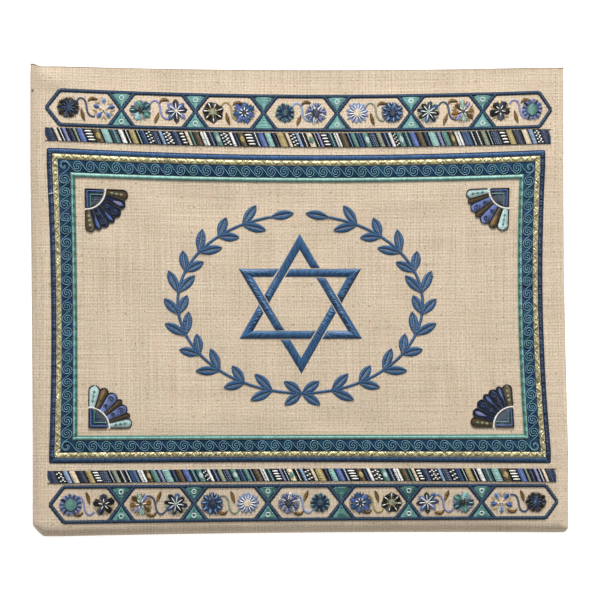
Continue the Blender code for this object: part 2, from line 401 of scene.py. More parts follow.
Fold = namedtuple("Fold", "across up length width angle height")
SOFT_FOLDS = (
    Fold(175, 253.0, 290, 6, 0, -0.5),
    Fold(170, 46.0, 300, 6, 0, -0.5),
    Fold(100, 276.0, 120, 12, 2, 0.5),
    Fold(262, 275.0, 100, 12, -3, 0.4),
    Fold(58, 170.0, 110, 16, 84, -0.6),
    Fold(296, 130.0, 130, 18, 95, -0.7),
    Fold(120, 76.0, 70, 10, 6, 0.6),
    Fold(205, 74.0, 60, 9, -5, -0.5),
    Fold(175, 150.0, 150, 45, 12, 0.6),
    Fold(120, 220.0, 90, 12, -4, -0.5),
    Fold(240, 219.0, 80, 11, 5, 0.5),
    Fold(12, 298.0, 22, 8, -38, 1.2),
)
PUCKER_HEIGHT = 0.16
PUCKER_LENGTH = 6.5
PUCKER_FADES_OVER = 3.5
PUCKER_SWAY = 1.3
PUCKER_SWAY_OVER = 17
UNEVEN_HEIGHT = 0.10
UNEVEN_WAVES = 9
UNEVEN_LENGTHS = (14.0, 55.0)

uneven_random = np.random.default_rng(11)
UNEVEN_TURNS = uneven_random.uniform(0, math.tau, UNEVEN_WAVES)
UNEVEN_PHASES = uneven_random.uniform(0, math.tau, UNEVEN_WAVES)
UNEVEN_SIZES = uneven_random.uniform(*UNEVEN_LENGTHS, UNEVEN_WAVES)


def quarter_round(share):
    """Height of a quarter circle that starts upright, as a share of its radius."""
    return np.sqrt(1 - (1 - np.clip(share, 0, 1)) ** 2)


def edge_share(across, up):
    """0 on the seams, rising to 1 where the rounding at the seams ends."""
    side = np.minimum(across, PATTERN_WIDTH - across) / SIDE_ROUNDING
    return np.minimum(side, up / BOTTOM_ROUNDING)


def folds(across, up):
    height = np.zeros_like(across)
    for fold in SOFT_FOLDS:
        turn = np.radians(fold.angle)
        dx, dy = across - fold.across, up - fold.up
        along = dx * np.cos(turn) + dy * np.sin(turn)
        aside = dy * np.cos(turn) - dx * np.sin(turn)
        shape = np.exp(-((aside / fold.width) ** 2) - (2 * along / fold.length) ** 4)
        height = height + fold.height * shape
    return height


def unevenness(across, up):
    """Faint waves of the cloth, in directions and lengths drawn once."""
    height = np.zeros_like(across)
    for turn, phase, size in zip(UNEVEN_TURNS, UNEVEN_PHASES, UNEVEN_SIZES):
        along = across * np.cos(turn) + up * np.sin(turn)
        height = height + np.sin(math.tau * along / size + phase)
    return UNEVEN_HEIGHT * height / 2


def inside_frame(across, up):
    """Distance inwards from the outer edge of the embroidered frame."""
    return np.minimum(
        np.minimum(across - FRAME_LEFT, FRAME_RIGHT - across),
        np.minimum(up - FRAME_BOTTOM, FRAME_TOP - up),
    )


def puckers(across, up):
    """Ripples that run out of the frame's two edges and fade away from them."""
    inwards = inside_frame(across, up)
    from_edge = np.minimum(np.abs(inwards), np.abs(inwards - FRAME_WIDTH))
    from_side = np.minimum(np.abs(across - FRAME_LEFT), np.abs(across - FRAME_RIGHT))
    beside = from_side < FRAME_WIDTH + PUCKER_FADES_OVER
    along = np.where(beside, up, across)
    sway = PUCKER_SWAY * np.sin(along / PUCKER_SWAY_OVER)
    ripple = np.sin(math.tau * along / PUCKER_LENGTH + sway)
    return PUCKER_HEIGHT * ripple * np.exp(-from_edge / PUCKER_FADES_OVER)


def front_height(across, up):
    """Height of the front linen's face over the table, in millimetres."""
    near_mouth = smooth_step(1 - (PATTERN_HEIGHT - up) / MOUTH_REACH)
    side = np.minimum(across, PATTERN_WIDTH - across) / SWELL_REACH_SIDE
    bottom = up / SWELL_REACH_BOTTOM
    swell = np.sin(np.pi / 2 * np.clip(side, 0, 1)) * np.sin(np.pi / 2 * np.clip(bottom, 0, 1))
    share = edge_share(across, up)
    relief = folds(across, up) + unevenness(across, up) + puckers(across, up)
    return (
        SEAM_HEIGHT
        + SEAM_GAP / 2
        + EDGE_RISE * (1 - MOUTH_DROP_OF_EDGE * near_mouth) * quarter_round(share)
        + SWELL_RISE * (1 - MOUTH_DROP_OF_SWELL * near_mouth) * swell
        + relief * smooth_step(share)
    )


def back_height(across, up):
    """Height of the back's underside, flat on the table and turned up at the seams."""
    return (SEAM_HEIGHT - SEAM_GAP / 2) * (1 - quarter_round(edge_share(across, up)))


def on_front(points, lift=0.0):
    """Places on the front's linen, in metres, for rows of (across, up) in the pattern."""
    across, up = points[:, 0], points[:, 1]
    x, y = laid_out(across, up)
    return np.column_stack([x, y, (front_height(across, up) + lift) * MM])


middle_height = on_front(np.array([[175.0, 150.0]]))[0, 2]
print("the linen is", round(float(middle_height) / MM, 2), "mm over the table in the middle")

# %% [markdown]
# ## The linen
# Plain-weave linen has uneven threads: thick slubs, paler and darker lengths, small brown
# flecks of stalk. The weave follows the cloth, so the material reads a UV map that holds the
# flat pattern. Warp and weft each have a rounded profile that shows where that thread passes
# over. It bumps the cloth, and it also paints the threads' tops lighter and the hollows between
# them darker, which is painted light and shade. Every second thread is a little paler, which
# gives the faint grid of the real cloth. A thin dark line along the mouth is painted shadow.

# %% Linen finish
WARP_PITCH = 1.055
WEFT_PITCH = 0.93
CLOTH_MAP = "pattern"
LINEN = srgb(211, 193, 168)
LINEN_SHADE = srgb(180, 161, 134)
LINEN_LIGHT = srgb(232, 215, 192)
LINEN_WARM = srgb(214, 188, 160)
FLECK = srgb(112, 84, 52)
# The thin dark brown line along the top of each panel is painted shadow under the hem's fold at the
# mouth.
MOUTH_PAINTED_SHADOW = srgb(92, 66, 42)
MOUTH_PAINTED_SHADOW_WIDTH = 0.25
MOUTH_PAINTED_SHADOW_SHARE = 0.85
THREAD_WANDER = 0.9
SLUB_TONE = 0.75
WARP_GRID_TONE = 0.06
WEFT_GRID_TONE = 0.10
GRAIN_TONE = 1.2
WEAVE_PAINTED_LIGHT_AND_SHADE = 0.16
MEAN_TONE = 0.37
CLOUD_TONE = 0.3
WARM_SHARE = 0.35
FLECK_SHARE = 0.6
SLUB_BUMP = 0.4
WEAVE_DEPTH = 0.16


def linen_finish(name, mouth_shadow_from):
    finish = Finish(name, roughness=0.88, sheen=0.12, specular=0.25)
    pattern = finish.node("ShaderNodeUVMap", {"uv_map": CLOTH_MAP})

    def cloth_noise(scale_across, scale_up, detail):
        """Noise over the cloth, drawn out along the way with the smaller scale."""
        return finish.noise(finish.stretched(pattern, scale_across, scale_up), 1.0, detail, "2D")

    across = finish.node("ShaderNodeSeparateXYZ", None, (pattern,), "X")
    up = finish.node("ShaderNodeSeparateXYZ", None, (pattern,), "Y")
    wander_across = cloth_noise(22, 60, 1.0) - 0.5
    wander_up = cloth_noise(60, 22, 1.0) - 0.5
    warp_turn = (across / (WARP_PITCH * MM) + wander_across * THREAD_WANDER) * math.pi
    weft_turn = (up / (WEFT_PITCH * MM) + wander_up * THREAD_WANDER) * math.pi
    warp_wave, weft_wave = warp_turn.sine(), weft_turn.sine()
    over = warp_wave * weft_wave * 0.5 + 0.5
    warp_top = warp_wave * warp_wave * over
    weft_top = weft_wave * weft_wave * (1 - over)
    weave = warp_top.larger(weft_top)
    warp_slubs, weft_slubs = cloth_noise(950, 14, 2.0), cloth_noise(14, 1080, 2.0)
    slubs = warp_top * warp_slubs + weft_top * weft_slubs
    grid = warp_turn.cosine() * WARP_GRID_TONE + weft_turn.cosine() * WEFT_GRID_TONE
    grain = finish.noise(pattern, 860.0, 2.0, "2D") * GRAIN_TONE - GRAIN_TONE / 2
    slub_tone = (warp_slubs + weft_slubs - 1) * SLUB_TONE
    # The weave's profile lightens the threads' tops and darkens the hollows between them: painted
    # light and shade. The slubs, grain, grid and clouds are the linen's own tone.
    tone = slub_tone + grain + grid + weave * WEAVE_PAINTED_LIGHT_AND_SHADE + MEAN_TONE
    clouds = finish.noise(pattern, 38.0, 3.0, "2D") * CLOUD_TONE - CLOUD_TONE / 2
    colour = finish.mix(tone + clouds, (*LINEN_SHADE, 1), (*LINEN_LIGHT, 1))
    warmth = cloth_noise(260, 60, 1.0).between(0.4, 0.75)
    colour = finish.mix(warmth * WARM_SHARE, colour, (*LINEN_WARM, 1))
    flecks = cloth_noise(640, 480, 0.0).between(0.83, 0.88) * FLECK_SHARE
    colour = finish.mix(flecks, colour, (*FLECK, 1))
    # Painted shadow: a thin dark brown line along the mouth edge of the panel.
    mouth_shadow = up.between(mouth_shadow_from * MM, (mouth_shadow_from + MOUTH_PAINTED_SHADOW_WIDTH) * MM)
    colour = finish.mix(mouth_shadow * MOUTH_PAINTED_SHADOW_SHARE, colour, (*MOUTH_PAINTED_SHADOW, 1))
    finish.paint("Base Color", colour)
    finish.paint("Roughness", 0.92 - weave * 0.12)
    finish.bump(weave + slubs * SLUB_BUMP, WEAVE_DEPTH * MM, 0.55)
    return finish.material


front_linen = linen_finish("front_linen", PATTERN_HEIGHT - 0.35)
back_linen = linen_finish("back_linen", PATTERN_HEIGHT - 1.0)
print("linen nodes", len(front_linen.node_tree.nodes))

# %% [markdown]
# ## The two panels
# Each panel is a sheet with two faces a cloth's thickness apart. The face that shows is a fine
# grid over the pattern. The inner face is the same grid moved in along the cloth's normals.
# Along the seams those normals are turned level, so the two panels meet edge to edge there.

# %% Sheet of cloth from a grid
FRONT_CLOTH = 1.4
BACK_CLOTH = 1.3
HEM_WIDTH = 12.0
HEM_EXTRA = 0.6
HEM_SHOULDER = 0.6
BACK_SHOWS = 0.7
ROUNDING_STEPS = (0.0, 0.012, 0.05, 0.11, 0.2, 0.31, 0.44, 0.58, 0.73, 0.87, 1.0)
FINE_GRID = 1.9
PLAIN_GRID = 4.0


def evenly(start, end, spacing):
    steps = max(1, round((end - start) / spacing))
    return [start + (end - start) * step / steps for step in range(steps + 1)]


def grid_columns(spacing):
    left = [SIDE_ROUNDING * step for step in ROUNDING_STEPS]
    right = [PATTERN_WIDTH - place for place in left]
    return sorted(left[:-1] + evenly(left[-1], right[-1], spacing) + right[:-1])


def grid_rows(spacing):
    bottom = [BOTTOM_ROUNDING * step for step in ROUNDING_STEPS]
    hem = PATTERN_HEIGHT - HEM_WIDTH
    shoulder = hem + HEM_SHOULDER
    field = evenly(bottom[-1], hem, spacing)
    return sorted(bottom[:-1] + field + evenly(shoulder, PATTERN_HEIGHT, spacing))


def unit(vectors):
    return vectors / np.linalg.norm(vectors, axis=-1, keepdims=True)


def level_outwards(edge, turn):
    """Level unit directions out of the bag along one of its edges."""
    along = np.gradient(edge, axis=0)
    return unit(turn * np.stack([along[:, 1], -along[:, 0], np.zeros(len(edge))], axis=-1))


def outward_normals(points, sign):
    """Unit normals of a grid of points, level on the three seams."""
    normals = sign * np.cross(np.gradient(points, axis=1), np.gradient(points, axis=0))
    left = level_outwards(points[:, 0], -1)
    right = level_outwards(points[:, -1], 1)
    bottom = level_outwards(points[0], 1)
    normals[:, 0], normals[:, -1] = left, right
    normals[0, 1:-1] = bottom[1:-1]
    normals = unit(normals)
    for column, side in ((0, left), (-1, right)):
        normals[0, column] = (side[0] + bottom[column]) / (1 + np.dot(side[0], bottom[column]))
    return normals


def hem_thickness(up, cloth):
    into_hem = (up - (PATTERN_HEIGHT - HEM_WIDTH)) / HEM_SHOULDER
    return cloth + HEM_EXTRA * np.clip(into_hem, 0, 1)


def sheet_piece(name, across, up, face, inner, upward, finish):
    """A closed sheet from the grids of its two faces. upward is true where face looks up."""
    rows, columns = across.shape
    count = rows * columns
    index = np.arange(count).reshape(rows, columns)
    squares = np.stack([index[:-1, :-1], index[:-1, 1:], index[1:, 1:], index[1:, :-1]], axis=-1)
    squares = squares.reshape(-1, 4)
    rim = np.concatenate([index[0, :-1], index[:-1, -1], index[-1, :0:-1], index[:0:-1, 0]])
    following = np.roll(rim, -1)
    walls = np.column_stack([rim, rim + count, following + count, following])
    if upward:
        faces = np.concatenate([squares, squares[:, ::-1] + count, walls])
    else:
        faces = np.concatenate([squares[:, ::-1], squares + count, walls[:, ::-1]])
    mesh = bpy.data.meshes.new(name)
    places = np.concatenate([face.reshape(-1, 3), inner.reshape(-1, 3)])
    mesh.from_pydata(places.tolist(), [], faces.tolist())
    flat = np.column_stack([across.ravel(), up.ravel()]) * MM
    flat = np.concatenate([flat, flat])
    cloth_map = mesh.uv_layers.new(name=CLOTH_MAP)
    corners = np.empty(len(mesh.loops), dtype=np.int32)
    mesh.loops.foreach_get("vertex_index", corners)
    cloth_map.data.foreach_set("uv", flat[corners].ravel())
    mesh.materials.append(finish)
    mesh.shade_smooth()
    mesh.set_sharp_from_angle(angle=math.radians(60))
    return add_object(name, mesh)


# %% Front and back
Panel = namedtuple("Panel", "name side grid cloth shows height finish")
FRONT = Panel("front_linen_panel", 1, FINE_GRID, FRONT_CLOTH, 0.0, front_height, front_linen)
BACK = Panel("back_linen_panel", -1, PLAIN_GRID, BACK_CLOTH, BACK_SHOWS, back_height, back_linen)


def panel_piece(panel):
    """A panel's sheet. Its side is 1 where its face looks up and -1 where it looks down, and
    its inner face never passes the seam towards the other panel."""
    across, up = np.meshgrid(grid_columns(panel.grid), grid_rows(panel.grid))
    x, y = laid_out(across, up)
    shown = panel.shows * smooth_step((up - PATTERN_HEIGHT + HEM_WIDTH) / HEM_WIDTH)
    face = np.dstack([x, y + shown * MM, panel.height(across, up) * MM])
    thickness = hem_thickness(up, panel.cloth)[..., None] * MM
    inner = face - outward_normals(face, panel.side) * thickness
    seam = (SEAM_HEIGHT + panel.side * SEAM_GAP / 2) * MM
    inner[..., 2] = panel.side * np.maximum(panel.side * inner[..., 2], panel.side * seam)
    return sheet_piece(panel.name, across, up, face, inner, panel.side > 0, panel.finish)


front_piece, back_piece = panel_piece(FRONT), panel_piece(BACK)
print("front faces", len(front_piece.data.polygons), "back faces", len(back_piece.data.polygons))

# %% [markdown]
# ## A stitch
# Every stitch is a short length of thread that goes down into the cloth at both ends and arches
# up between them. So a stitch needs two ends, a thickness, a height for its arch and a colour.
# A mesh of loose edges holds one edge for each stitch. Geometry Nodes turn each edge into a
# curve, arch it, and sweep a three-sided thread along it, which keeps many thousands light.


# %% Geometry Nodes for stitches
STITCH_TAPER = 0.45


def stitch_tree():
    tree = bpy.data.node_groups.new("Stitches", "GeometryNodeTree")
    face = tree.interface
    face.new_socket("Geometry", in_out="INPUT", socket_type="NodeSocketGeometry")
    for name, kind, value in (
        ("Steps", "NodeSocketInt", 3),
        ("Sides", "NodeSocketInt", 3),
        ("Looseness", "NodeSocketFloat", 0.12),
        ("Seed", "NodeSocketInt", 5),
        ("Thread", "NodeSocketMaterial", None),
    ):
        socket = face.new_socket(name, in_out="INPUT", socket_type=kind)
        if value is not None:
            socket.default_value = value
    face.new_socket("Geometry", in_out="OUTPUT", socket_type="NodeSocketGeometry")
    nodes = Nodes(tree)
    given = tree.nodes.new("NodeGroupInput")

    def asked(name):
        return Wire(nodes, given.outputs[name])

    def geometry(kind, inputs, settings=None):
        return nodes.node("GeometryNode" + kind, settings, inputs)

    def held(name, kind="FLOAT"):
        return geometry("InputNamedAttribute", {"Name": name}, {"data_type": kind})

    curve = geometry("MeshToCurve", {"Mesh": asked("Geometry")})
    curve = geometry("ResampleCurve", {"Curve": curve, "Count": asked("Steps") + 1})
    share = nodes.node("GeometryNodeSplineParameter", output="Factor")
    chance = nodes.node(
        "FunctionNodeRandomValue",
        {"data_type": "FLOAT"},
        {2: -1.0, 3: 1.0, "ID": held("stitch", "INT"), "Seed": asked("Seed")},
        1,
    )
    arch = share * (1 - share) * 4 * held("rise") * (1 + chance * asked("Looseness"))
    raised = nodes.node("ShaderNodeCombineXYZ", None, {"Z": arch})
    curve = geometry("SetPosition", {"Geometry": curve, "Offset": raised})
    towards_end = share * 2 - 1
    taper = 1 - (towards_end * towards_end).power(2.0) * STITCH_TAPER
    girth = held("thick") * 0.5 * taper
    curve = geometry("SetCurveNormal", {"Curve": curve}, {"mode": "Z_UP"})
    ring = geometry("CurvePrimitiveCircle", {"Resolution": asked("Sides"), "Radius": 1.0})
    ring = geometry("Transform", {"Geometry": ring, "Rotation": (0.0, 0.0, math.radians(90))})
    swept = {"Curve": curve, "Profile Curve": ring, "Scale": girth, "Fill Caps": True}
    thread = geometry("CurveToMesh", swept)
    thread = geometry("RealizeInstances", {"Geometry": thread})
    thread = geometry("SetMaterial", {"Geometry": thread, "Material": asked("Thread")})
    out = tree.nodes.new("NodeGroupOutput")
    nodes.feed(out.inputs["Geometry"], thread)
    return tree


STITCHES = stitch_tree()
print("stitch tree has", len(STITCHES.nodes), "nodes")


# %% A hoop that collects stitches
class Hoop:
    """Stitches on the flat pattern, in millimetres, that become one piece of thread."""

    def __init__(self, name, seed):
        self.name = name
        self.random = np.random.default_rng(seed)
        self.rows = []

    def sew(self, starts, ends, colour, thick=0.6, rise=0.3, lift=0.0, vary=0.07):
        """Adds stitches between rows of starts and ends. vary is how uneven the dye is."""
        starts, ends = np.atleast_2d(starts), np.atleast_2d(ends)
        count = len(starts)
        tones = 1 + vary * self.random.standard_normal((count, 1))
        colours = np.clip(np.broadcast_to(colour, (count, 3)) * tones, 0, 1)
        sizes = [np.broadcast_to(np.asarray(v, float), count) for v in (thick, rise, lift)]
        self.rows.append(np.column_stack([starts, ends, colours, *sizes]))

    def take_out(self, finish, steps=3):
        """Makes the piece of thread and gives it its place on the bag."""
        data = np.concatenate(self.rows)
        lift = data[:, 9]
        places = np.stack([on_front(data[:, 0:2], lift), on_front(data[:, 2:4], lift)], axis=1)
        count = len(data)
        mesh = bpy.data.meshes.new(self.name)
        edges = np.arange(2 * count).reshape(count, 2)
        mesh.from_pydata(places.reshape(-1, 3).tolist(), edges.tolist(), [])
        twice = np.repeat(np.arange(count), 2)
        for name, kind, values in (
            ("thick", "FLOAT", data[twice, 7] * MM),
            ("rise", "FLOAT", data[twice, 8] * MM),
            ("stitch", "INT", twice.astype(np.int32)),
        ):
            mesh.attributes.new(name, kind, "POINT").data.foreach_set("value", values)
        dye = np.column_stack([data[twice, 4:7], np.ones(2 * count)])
        mesh.attributes.new("dye", "FLOAT_COLOR", "POINT").data.foreach_set("color", dye.ravel())
        raw = add_object(self.name + "_plan", mesh)
        sewing = raw.modifiers.new("Stitches", "NODES")
        sewing.node_group = STITCHES
        wanted = {"Steps": steps, "Thread": finish}
        for item in STITCHES.interface.items_tree:
            if item.in_out == "INPUT" and item.name in wanted:
                sewing[item.identifier] = wanted[item.name]
        now = bpy.context.evaluated_depsgraph_get()
        thread = bpy.data.meshes.new_from_object(
            raw.evaluated_get(now), preserve_all_data_layers=True, depsgraph=now
        )
        bpy.data.objects.remove(raw, do_unlink=True)
        thread.name = self.name
        thread.shade_smooth()
        triangles = sum(len(face.vertices) - 2 for face in thread.polygons)
        print(f"{self.name}: {count} stitches, {triangles} triangles")
        return add_object(self.name, thread)


# %% [markdown]
# ## Ways to sew
# Satin stitch lays threads side by side across a path, close enough to hide the cloth. Back
# stitch lays them end to end along a path. With a width that changes along the path, satin
# stitch also fills petals, leaves and triangles. So two functions draw nearly everything.


# %% Paths, satin stitch and back stitch
def step_lengths(path):
    return np.linalg.norm(np.diff(path, axis=0), axis=1)


def distances(path):
    """How far along a path each of its points lies."""
    return np.concatenate([[0], np.cumsum(step_lengths(path))])


def points_at(path, wanted):
    """Points of a path at the wanted distances along it."""
    known = distances(path)
    return np.column_stack([np.interp(wanted, known, path[:, axis]) for axis in (0, 1)])


def resampled(path, spacing):
    """Points at even distances along a path, their directions, and their shares of it."""
    path = np.asarray(path, float)
    length = distances(path)[-1]
    wanted = np.linspace(0, length, max(2, int(round(length / spacing)) + 1))
    points = points_at(path, wanted)
    directions = unit(np.gradient(points, axis=0))
    return points, directions, wanted / length


def rungs(path, width, spacing, slant=0.0):
    """Both ends of the satin stitches across a path. width is a number or a function of the
    share of the path, and slant turns the stitches, in degrees."""
    points, directions, share = resampled(path, spacing)
    half = (width(share) if callable(width) else np.full(len(share), width)) / 2
    turn = math.radians(90 + slant)
    aside = np.column_stack(
        [
            directions[:, 0] * math.cos(turn) - directions[:, 1] * math.sin(turn),
            directions[:, 0] * math.sin(turn) + directions[:, 1] * math.cos(turn),
        ]
    )
    return points + aside * half[:, None], points - aside * half[:, None]


def links(path, length):
    """Both ends of the back stitches along a path."""
    points = resampled(path, length)[0]
    return points[:-1], points[1:]


def towards(angle):
    """Unit direction at an angle in degrees."""
    turn = math.radians(angle)
    return np.array([math.cos(turn), math.sin(turn)])


def left_of(direction):
    return np.array([-direction[1], direction[0]])


def curve(start, first_pull, second_pull, end, count=24):
    """Points of a Bezier curve."""
    share = np.linspace(0, 1, count)[:, None]
    rest = 1 - share
    corners = [np.array(p, float) for p in (start, first_pull, second_pull, end)]
    weights = (rest**3, 3 * rest**2 * share, 3 * rest * share**2, share**3)
    return sum(weight * corner for weight, corner in zip(weights, corners))


def arc(centre, radius, start, end, count=None):
    """Points of an arc, in degrees, anticlockwise from the right."""
    count = count or max(3, int(abs(end - start) / 8) + 1)
    turn = np.radians(np.linspace(start, end, count))
    return np.column_stack([centre[0] + radius * np.cos(turn), centre[1] + radius * np.sin(turn)])


def leaf_form(widest, place=0.45, tip=0.25):
    """Width of a leaf or petal along its middle line: widest at place, and tip at its ends."""

    def width(share):
        rising = np.sin(np.pi / 2 * np.clip(share / place, 0, 1))
        falling = np.cos(np.pi / 2 * np.clip((share - place) / (1 - place), 0, 1)) ** 0.8
        return tip + (widest - tip) * np.where(share < place, rising, falling)

    return width


print("a 10 mm path at 0.5 mm has", len(resampled([(0, 0), (10, 0)], 0.5)[0]), "stitches")

# %% [markdown]
# ## Dyes and thread finishes
# The threads are shiny viscose in sea greens, blues, browns and white, and a metal thread. The
# finish reads each stitch's own colour from the mesh. Fine noise along the thread breaks up its
# shine, as fibres do.

# %% Dyes
BLACK = srgb(9, 11, 18)
NAVY = srgb(20, 34, 64)
DEEP_BLUE = srgb(32, 58, 92)
BLUE = srgb(50, 88, 130)
CORNFLOWER = srgb(84, 108, 170)
LIGHT_BLUE = srgb(140, 166, 198)
SLATE = srgb(64, 82, 110)
LAVENDER = srgb(138, 140, 184)
WHITE = srgb(242, 242, 236)
CREAM = srgb(230, 213, 184)
SAGE = srgb(142, 152, 130)
SEA_GREEN = srgb(86, 136, 126)
LIGHT_TEAL = srgb(146, 190, 184)
PALE_TEAL = srgb(184, 208, 206)
DARK_TEAL = srgb(32, 76, 88)
OLIVE = srgb(82, 66, 36)
BROWN_GOLD = srgb(136, 98, 44)
MUSTARD = srgb(178, 160, 104)
GOLD = srgb(236, 228, 178)


FIBRE_SCALE = 4200.0
FIBRE_DEPTH = 0.05
FIBRE_ROUGHNESS = 0.3
PATCH_SCALE = 90.0
PATCH_TONE = 0.5


def thread_finish(name, roughness, metallic=0.0, specular=0.35, fibre_tone=0.25):
    finish = Finish(name, roughness, 0.03, metallic, specular)
    where = finish.node("ShaderNodeTexCoord", output="Object")
    dye = finish.node("ShaderNodeAttribute", {"attribute_name": "dye"}, output="Color")
    fibres = finish.noise(where, FIBRE_SCALE, 1.0)
    patches = finish.noise(where, PATCH_SCALE, 2.0)
    shade = (patches - 0.5) * PATCH_TONE + (fibres - 0.5) * fibre_tone + 1.0
    tint = finish.node("ShaderNodeCombineColor", None, (shade, shade, shade))
    finish.paint("Base Color", finish.mix(1.0, dye, tint, "MULTIPLY"))
    finish.paint("Roughness", (fibres - 0.5) * FIBRE_ROUGHNESS + roughness)
    finish.bump(fibres, FIBRE_DEPTH * MM, 0.5)
    return finish.material


SATIN_THREAD = thread_finish("satin_thread", 0.38)
MATT_THREAD = thread_finish("matt_thread", 0.68, specular=0.15)
METAL_THREAD = thread_finish("metal_thread", 0.34, metallic=0.6, fibre_tone=0.7)
print("thread finishes:", SATIN_THREAD.name, MATT_THREAD.name, METAL_THREAD.name)

# %% [markdown]
# ## The frame
# Four bands run round the bag, from the outside in: a padded blue satin cord, a flat plait of
# gold thread, a wide band of scrolls, and a light sea-green cord with a fine edging, which is
# two thin cords on the left and right. On each side the stitches run straight across the band,
# and at the corners they meet on a mitre.

# %% Bands of the frame
SATIN_PITCH = 0.5
Band = namedtuple("Band", "outer inner")
MITRE_OVERLAP = 0.4
BLUE_BAND = Band(0.4, 3.6)
GOLD_BAND = Band(3.9, 6.7)
SCROLL_BAND = Band(6.9, 14.8)
TEAL_BAND = Band(15.0, 17.0)


def frame_box(inset):
    """The frame's left, right, lower and upper line, each moved inwards."""
    return FRAME_LEFT + inset, FRAME_RIGHT - inset, FRAME_BOTTOM + inset, FRAME_TOP - inset


def mitred_sides(band, pitch):
    """Stitches across each of a band's four sides, which meet on mitres. Gives for each side
    its stitches' outer ends and inner ends."""
    left, right, low, high = frame_box(band.outer)
    depth = band.inner - band.outer
    sides = {}
    for name, edge, inward, start, end in (
        ("bottom", low, 1, left, right),
        ("top", high, -1, left, right),
        ("left", left, 1, low, high),
        ("right", right, -1, low, high),
    ):
        along = np.arange(start + pitch / 2, end, pitch)
        reach = np.minimum(depth, np.minimum(along - start, end - along) + MITRE_OVERLAP)
        ends = [(along, np.full(len(along), edge)), (along, edge + inward * reach)]
        if name in ("left", "right"):
            ends = [pair[::-1] for pair in ends]
        sides[name] = tuple(np.column_stack(pair) for pair in ends)
    return sides


def full_arch(starts, ends, height, width):
    """Arch height of each stitch, lower where a mitre makes it short."""
    length = np.linalg.norm(ends - starts, axis=1)
    return height * np.clip(length / width, 0.15, 1)


# %% Blue cord
BLUE_ARCH = 0.85
# One blue, painted lighter on the top side and darker on the bottom, left and right sides: painted
# light and shade for how the light falls on each side's stitches.
BLUE_PAINTED_LIGHT_BY_SIDE = {
    "top": srgb(48, 86, 128),
    "bottom": srgb(38, 68, 98),
    "left": srgb(24, 50, 80),
    "right": srgb(18, 44, 74),
}

blue_hoop = Hoop("frame_blue_cord", 21)
for side, (outer, inner) in mitred_sides(BLUE_BAND, SATIN_PITCH).items():
    jitter = blue_hoop.random.normal(0, 0.07, outer.shape)
    rise = full_arch(outer, inner, BLUE_ARCH, BLUE_BAND.inner)
    blue_hoop.sew(outer + jitter, inner + jitter, BLUE_PAINTED_LIGHT_BY_SIDE[side], 0.9, rise, -0.2, 0.16)
    # A navy thread along both edges of each side darkens the cord's edges: painted shade of the
    # padded cord.
    for edge in (outer, inner):
        blue_hoop.sew(*links(edge[[0, -1]], 1.6), NAVY, 0.8, 0.1, 0.0, 0.2)
blue_cord = blue_hoop.take_out(SATIN_THREAD, steps=4)

# %% Gold plait
GOLD_PITCH = 0.6
GOLD_LEAN = 1.1
GOLD_PLAIT_LENGTH = 6.2
# Brown for a zigzag thread at the plait's turns: painted shadow between the plait's lengths.
GOLD_PAINTED_SHADOW = srgb(134, 118, 66)

gold_hoop = Hoop("frame_gold_plait", 22)
for side, (outer, inner) in mitred_sides(GOLD_BAND, GOLD_PITCH).items():
    along = 0 if side in ("bottom", "top") else 1
    phase = (outer[:, along] / GOLD_PLAIT_LENGTH) % 1
    lean = np.zeros_like(outer)
    lean[:, along] = GOLD_LEAN * np.where(phase < 0.5, 1, -1)
    lean *= full_arch(outer, inner, 1.0, GOLD_BAND.inner - GOLD_BAND.outer)[:, None]
    # Painted highlight: the gold grows lighter and darker in turn along each length of the plait, for
    # the light patches on the twisted metal thread.
    tone = 0.8 + 0.45 * np.abs(2 * (2 * phase % 1) - 1)[:, None]
    lift = 0.5 * gold_hoop.random.random(len(outer)) - 0.1
    gold_hoop.sew(outer - lean, inner + lean, np.array(GOLD) * tone, 0.72, 0.4, lift, 0.3)
    # A brown zigzag thread across each turn of the plait is painted shadow.
    corner = np.flatnonzero(np.diff(np.floor(2 * outer[:, along] / GOLD_PLAIT_LENGTH)))
    shadow_zigzag = np.where(np.arange(len(corner))[:, None] % 2, outer[corner], inner[corner])
    gold_hoop.sew(shadow_zigzag[1:-1], shadow_zigzag[2:], GOLD_PAINTED_SHADOW, 0.5, 0.3, 0.5, 0.3)
gold_plait = gold_hoop.take_out(METAL_THREAD)

# %% Sea-green cord and its edging
TEAL_ARCH = 0.85
EDGING_FROM_FRAME = 17.4
TEAL_LIGHT = srgb(124, 176, 166)
TEAL_PALE = srgb(146, 196, 184)
TEAL_SHADE = srgb(66, 122, 108)
TealCord = namedtuple("TealCord", "band dye sides")
TEAL_CORDS = (
    TealCord(TEAL_BAND, TEAL_LIGHT, ("bottom",)),
    TealCord(TEAL_BAND, TEAL_PALE, ("top",)),
    TealCord(Band(14.95, 15.95), TEAL_LIGHT, ("left", "right")),
    TealCord(Band(16.05, 17.05), TEAL_SHADE, ("left", "right")),
)

teal_hoop = Hoop("frame_teal_cord", 23)
for cord in TEAL_CORDS:
    width = cord.band.inner - cord.band.outer
    for side, (outer, inner) in mitred_sides(cord.band, SATIN_PITCH).items():
        if side in cord.sides:
            rise = full_arch(outer, inner, TEAL_ARCH * width / 1.9, width)
            teal_hoop.sew(outer, inner, cord.dye, 0.78, rise, -0.1, 0.12)
left, right, low, high = frame_box(EDGING_FROM_FRAME)
edging = [(left, low), (right, low), (right, high), (left, high), (left, low)]
teal_hoop.sew(*links(edging, 0.9), SEA_GREEN, 0.62, 0.12, 0.15)
teal_cord = teal_hoop.take_out(SATIN_THREAD, steps=4)

# %% [markdown]
# The scroll band is a flat blue ground with a thin line over it. The line is a running scroll:
# every spiral has two arms, one from the spiral before it and one to the next, joined by an S.
# A row of spirals goes right round the frame, with one in each corner, and a corner's two arms
# simply follow its two sides.

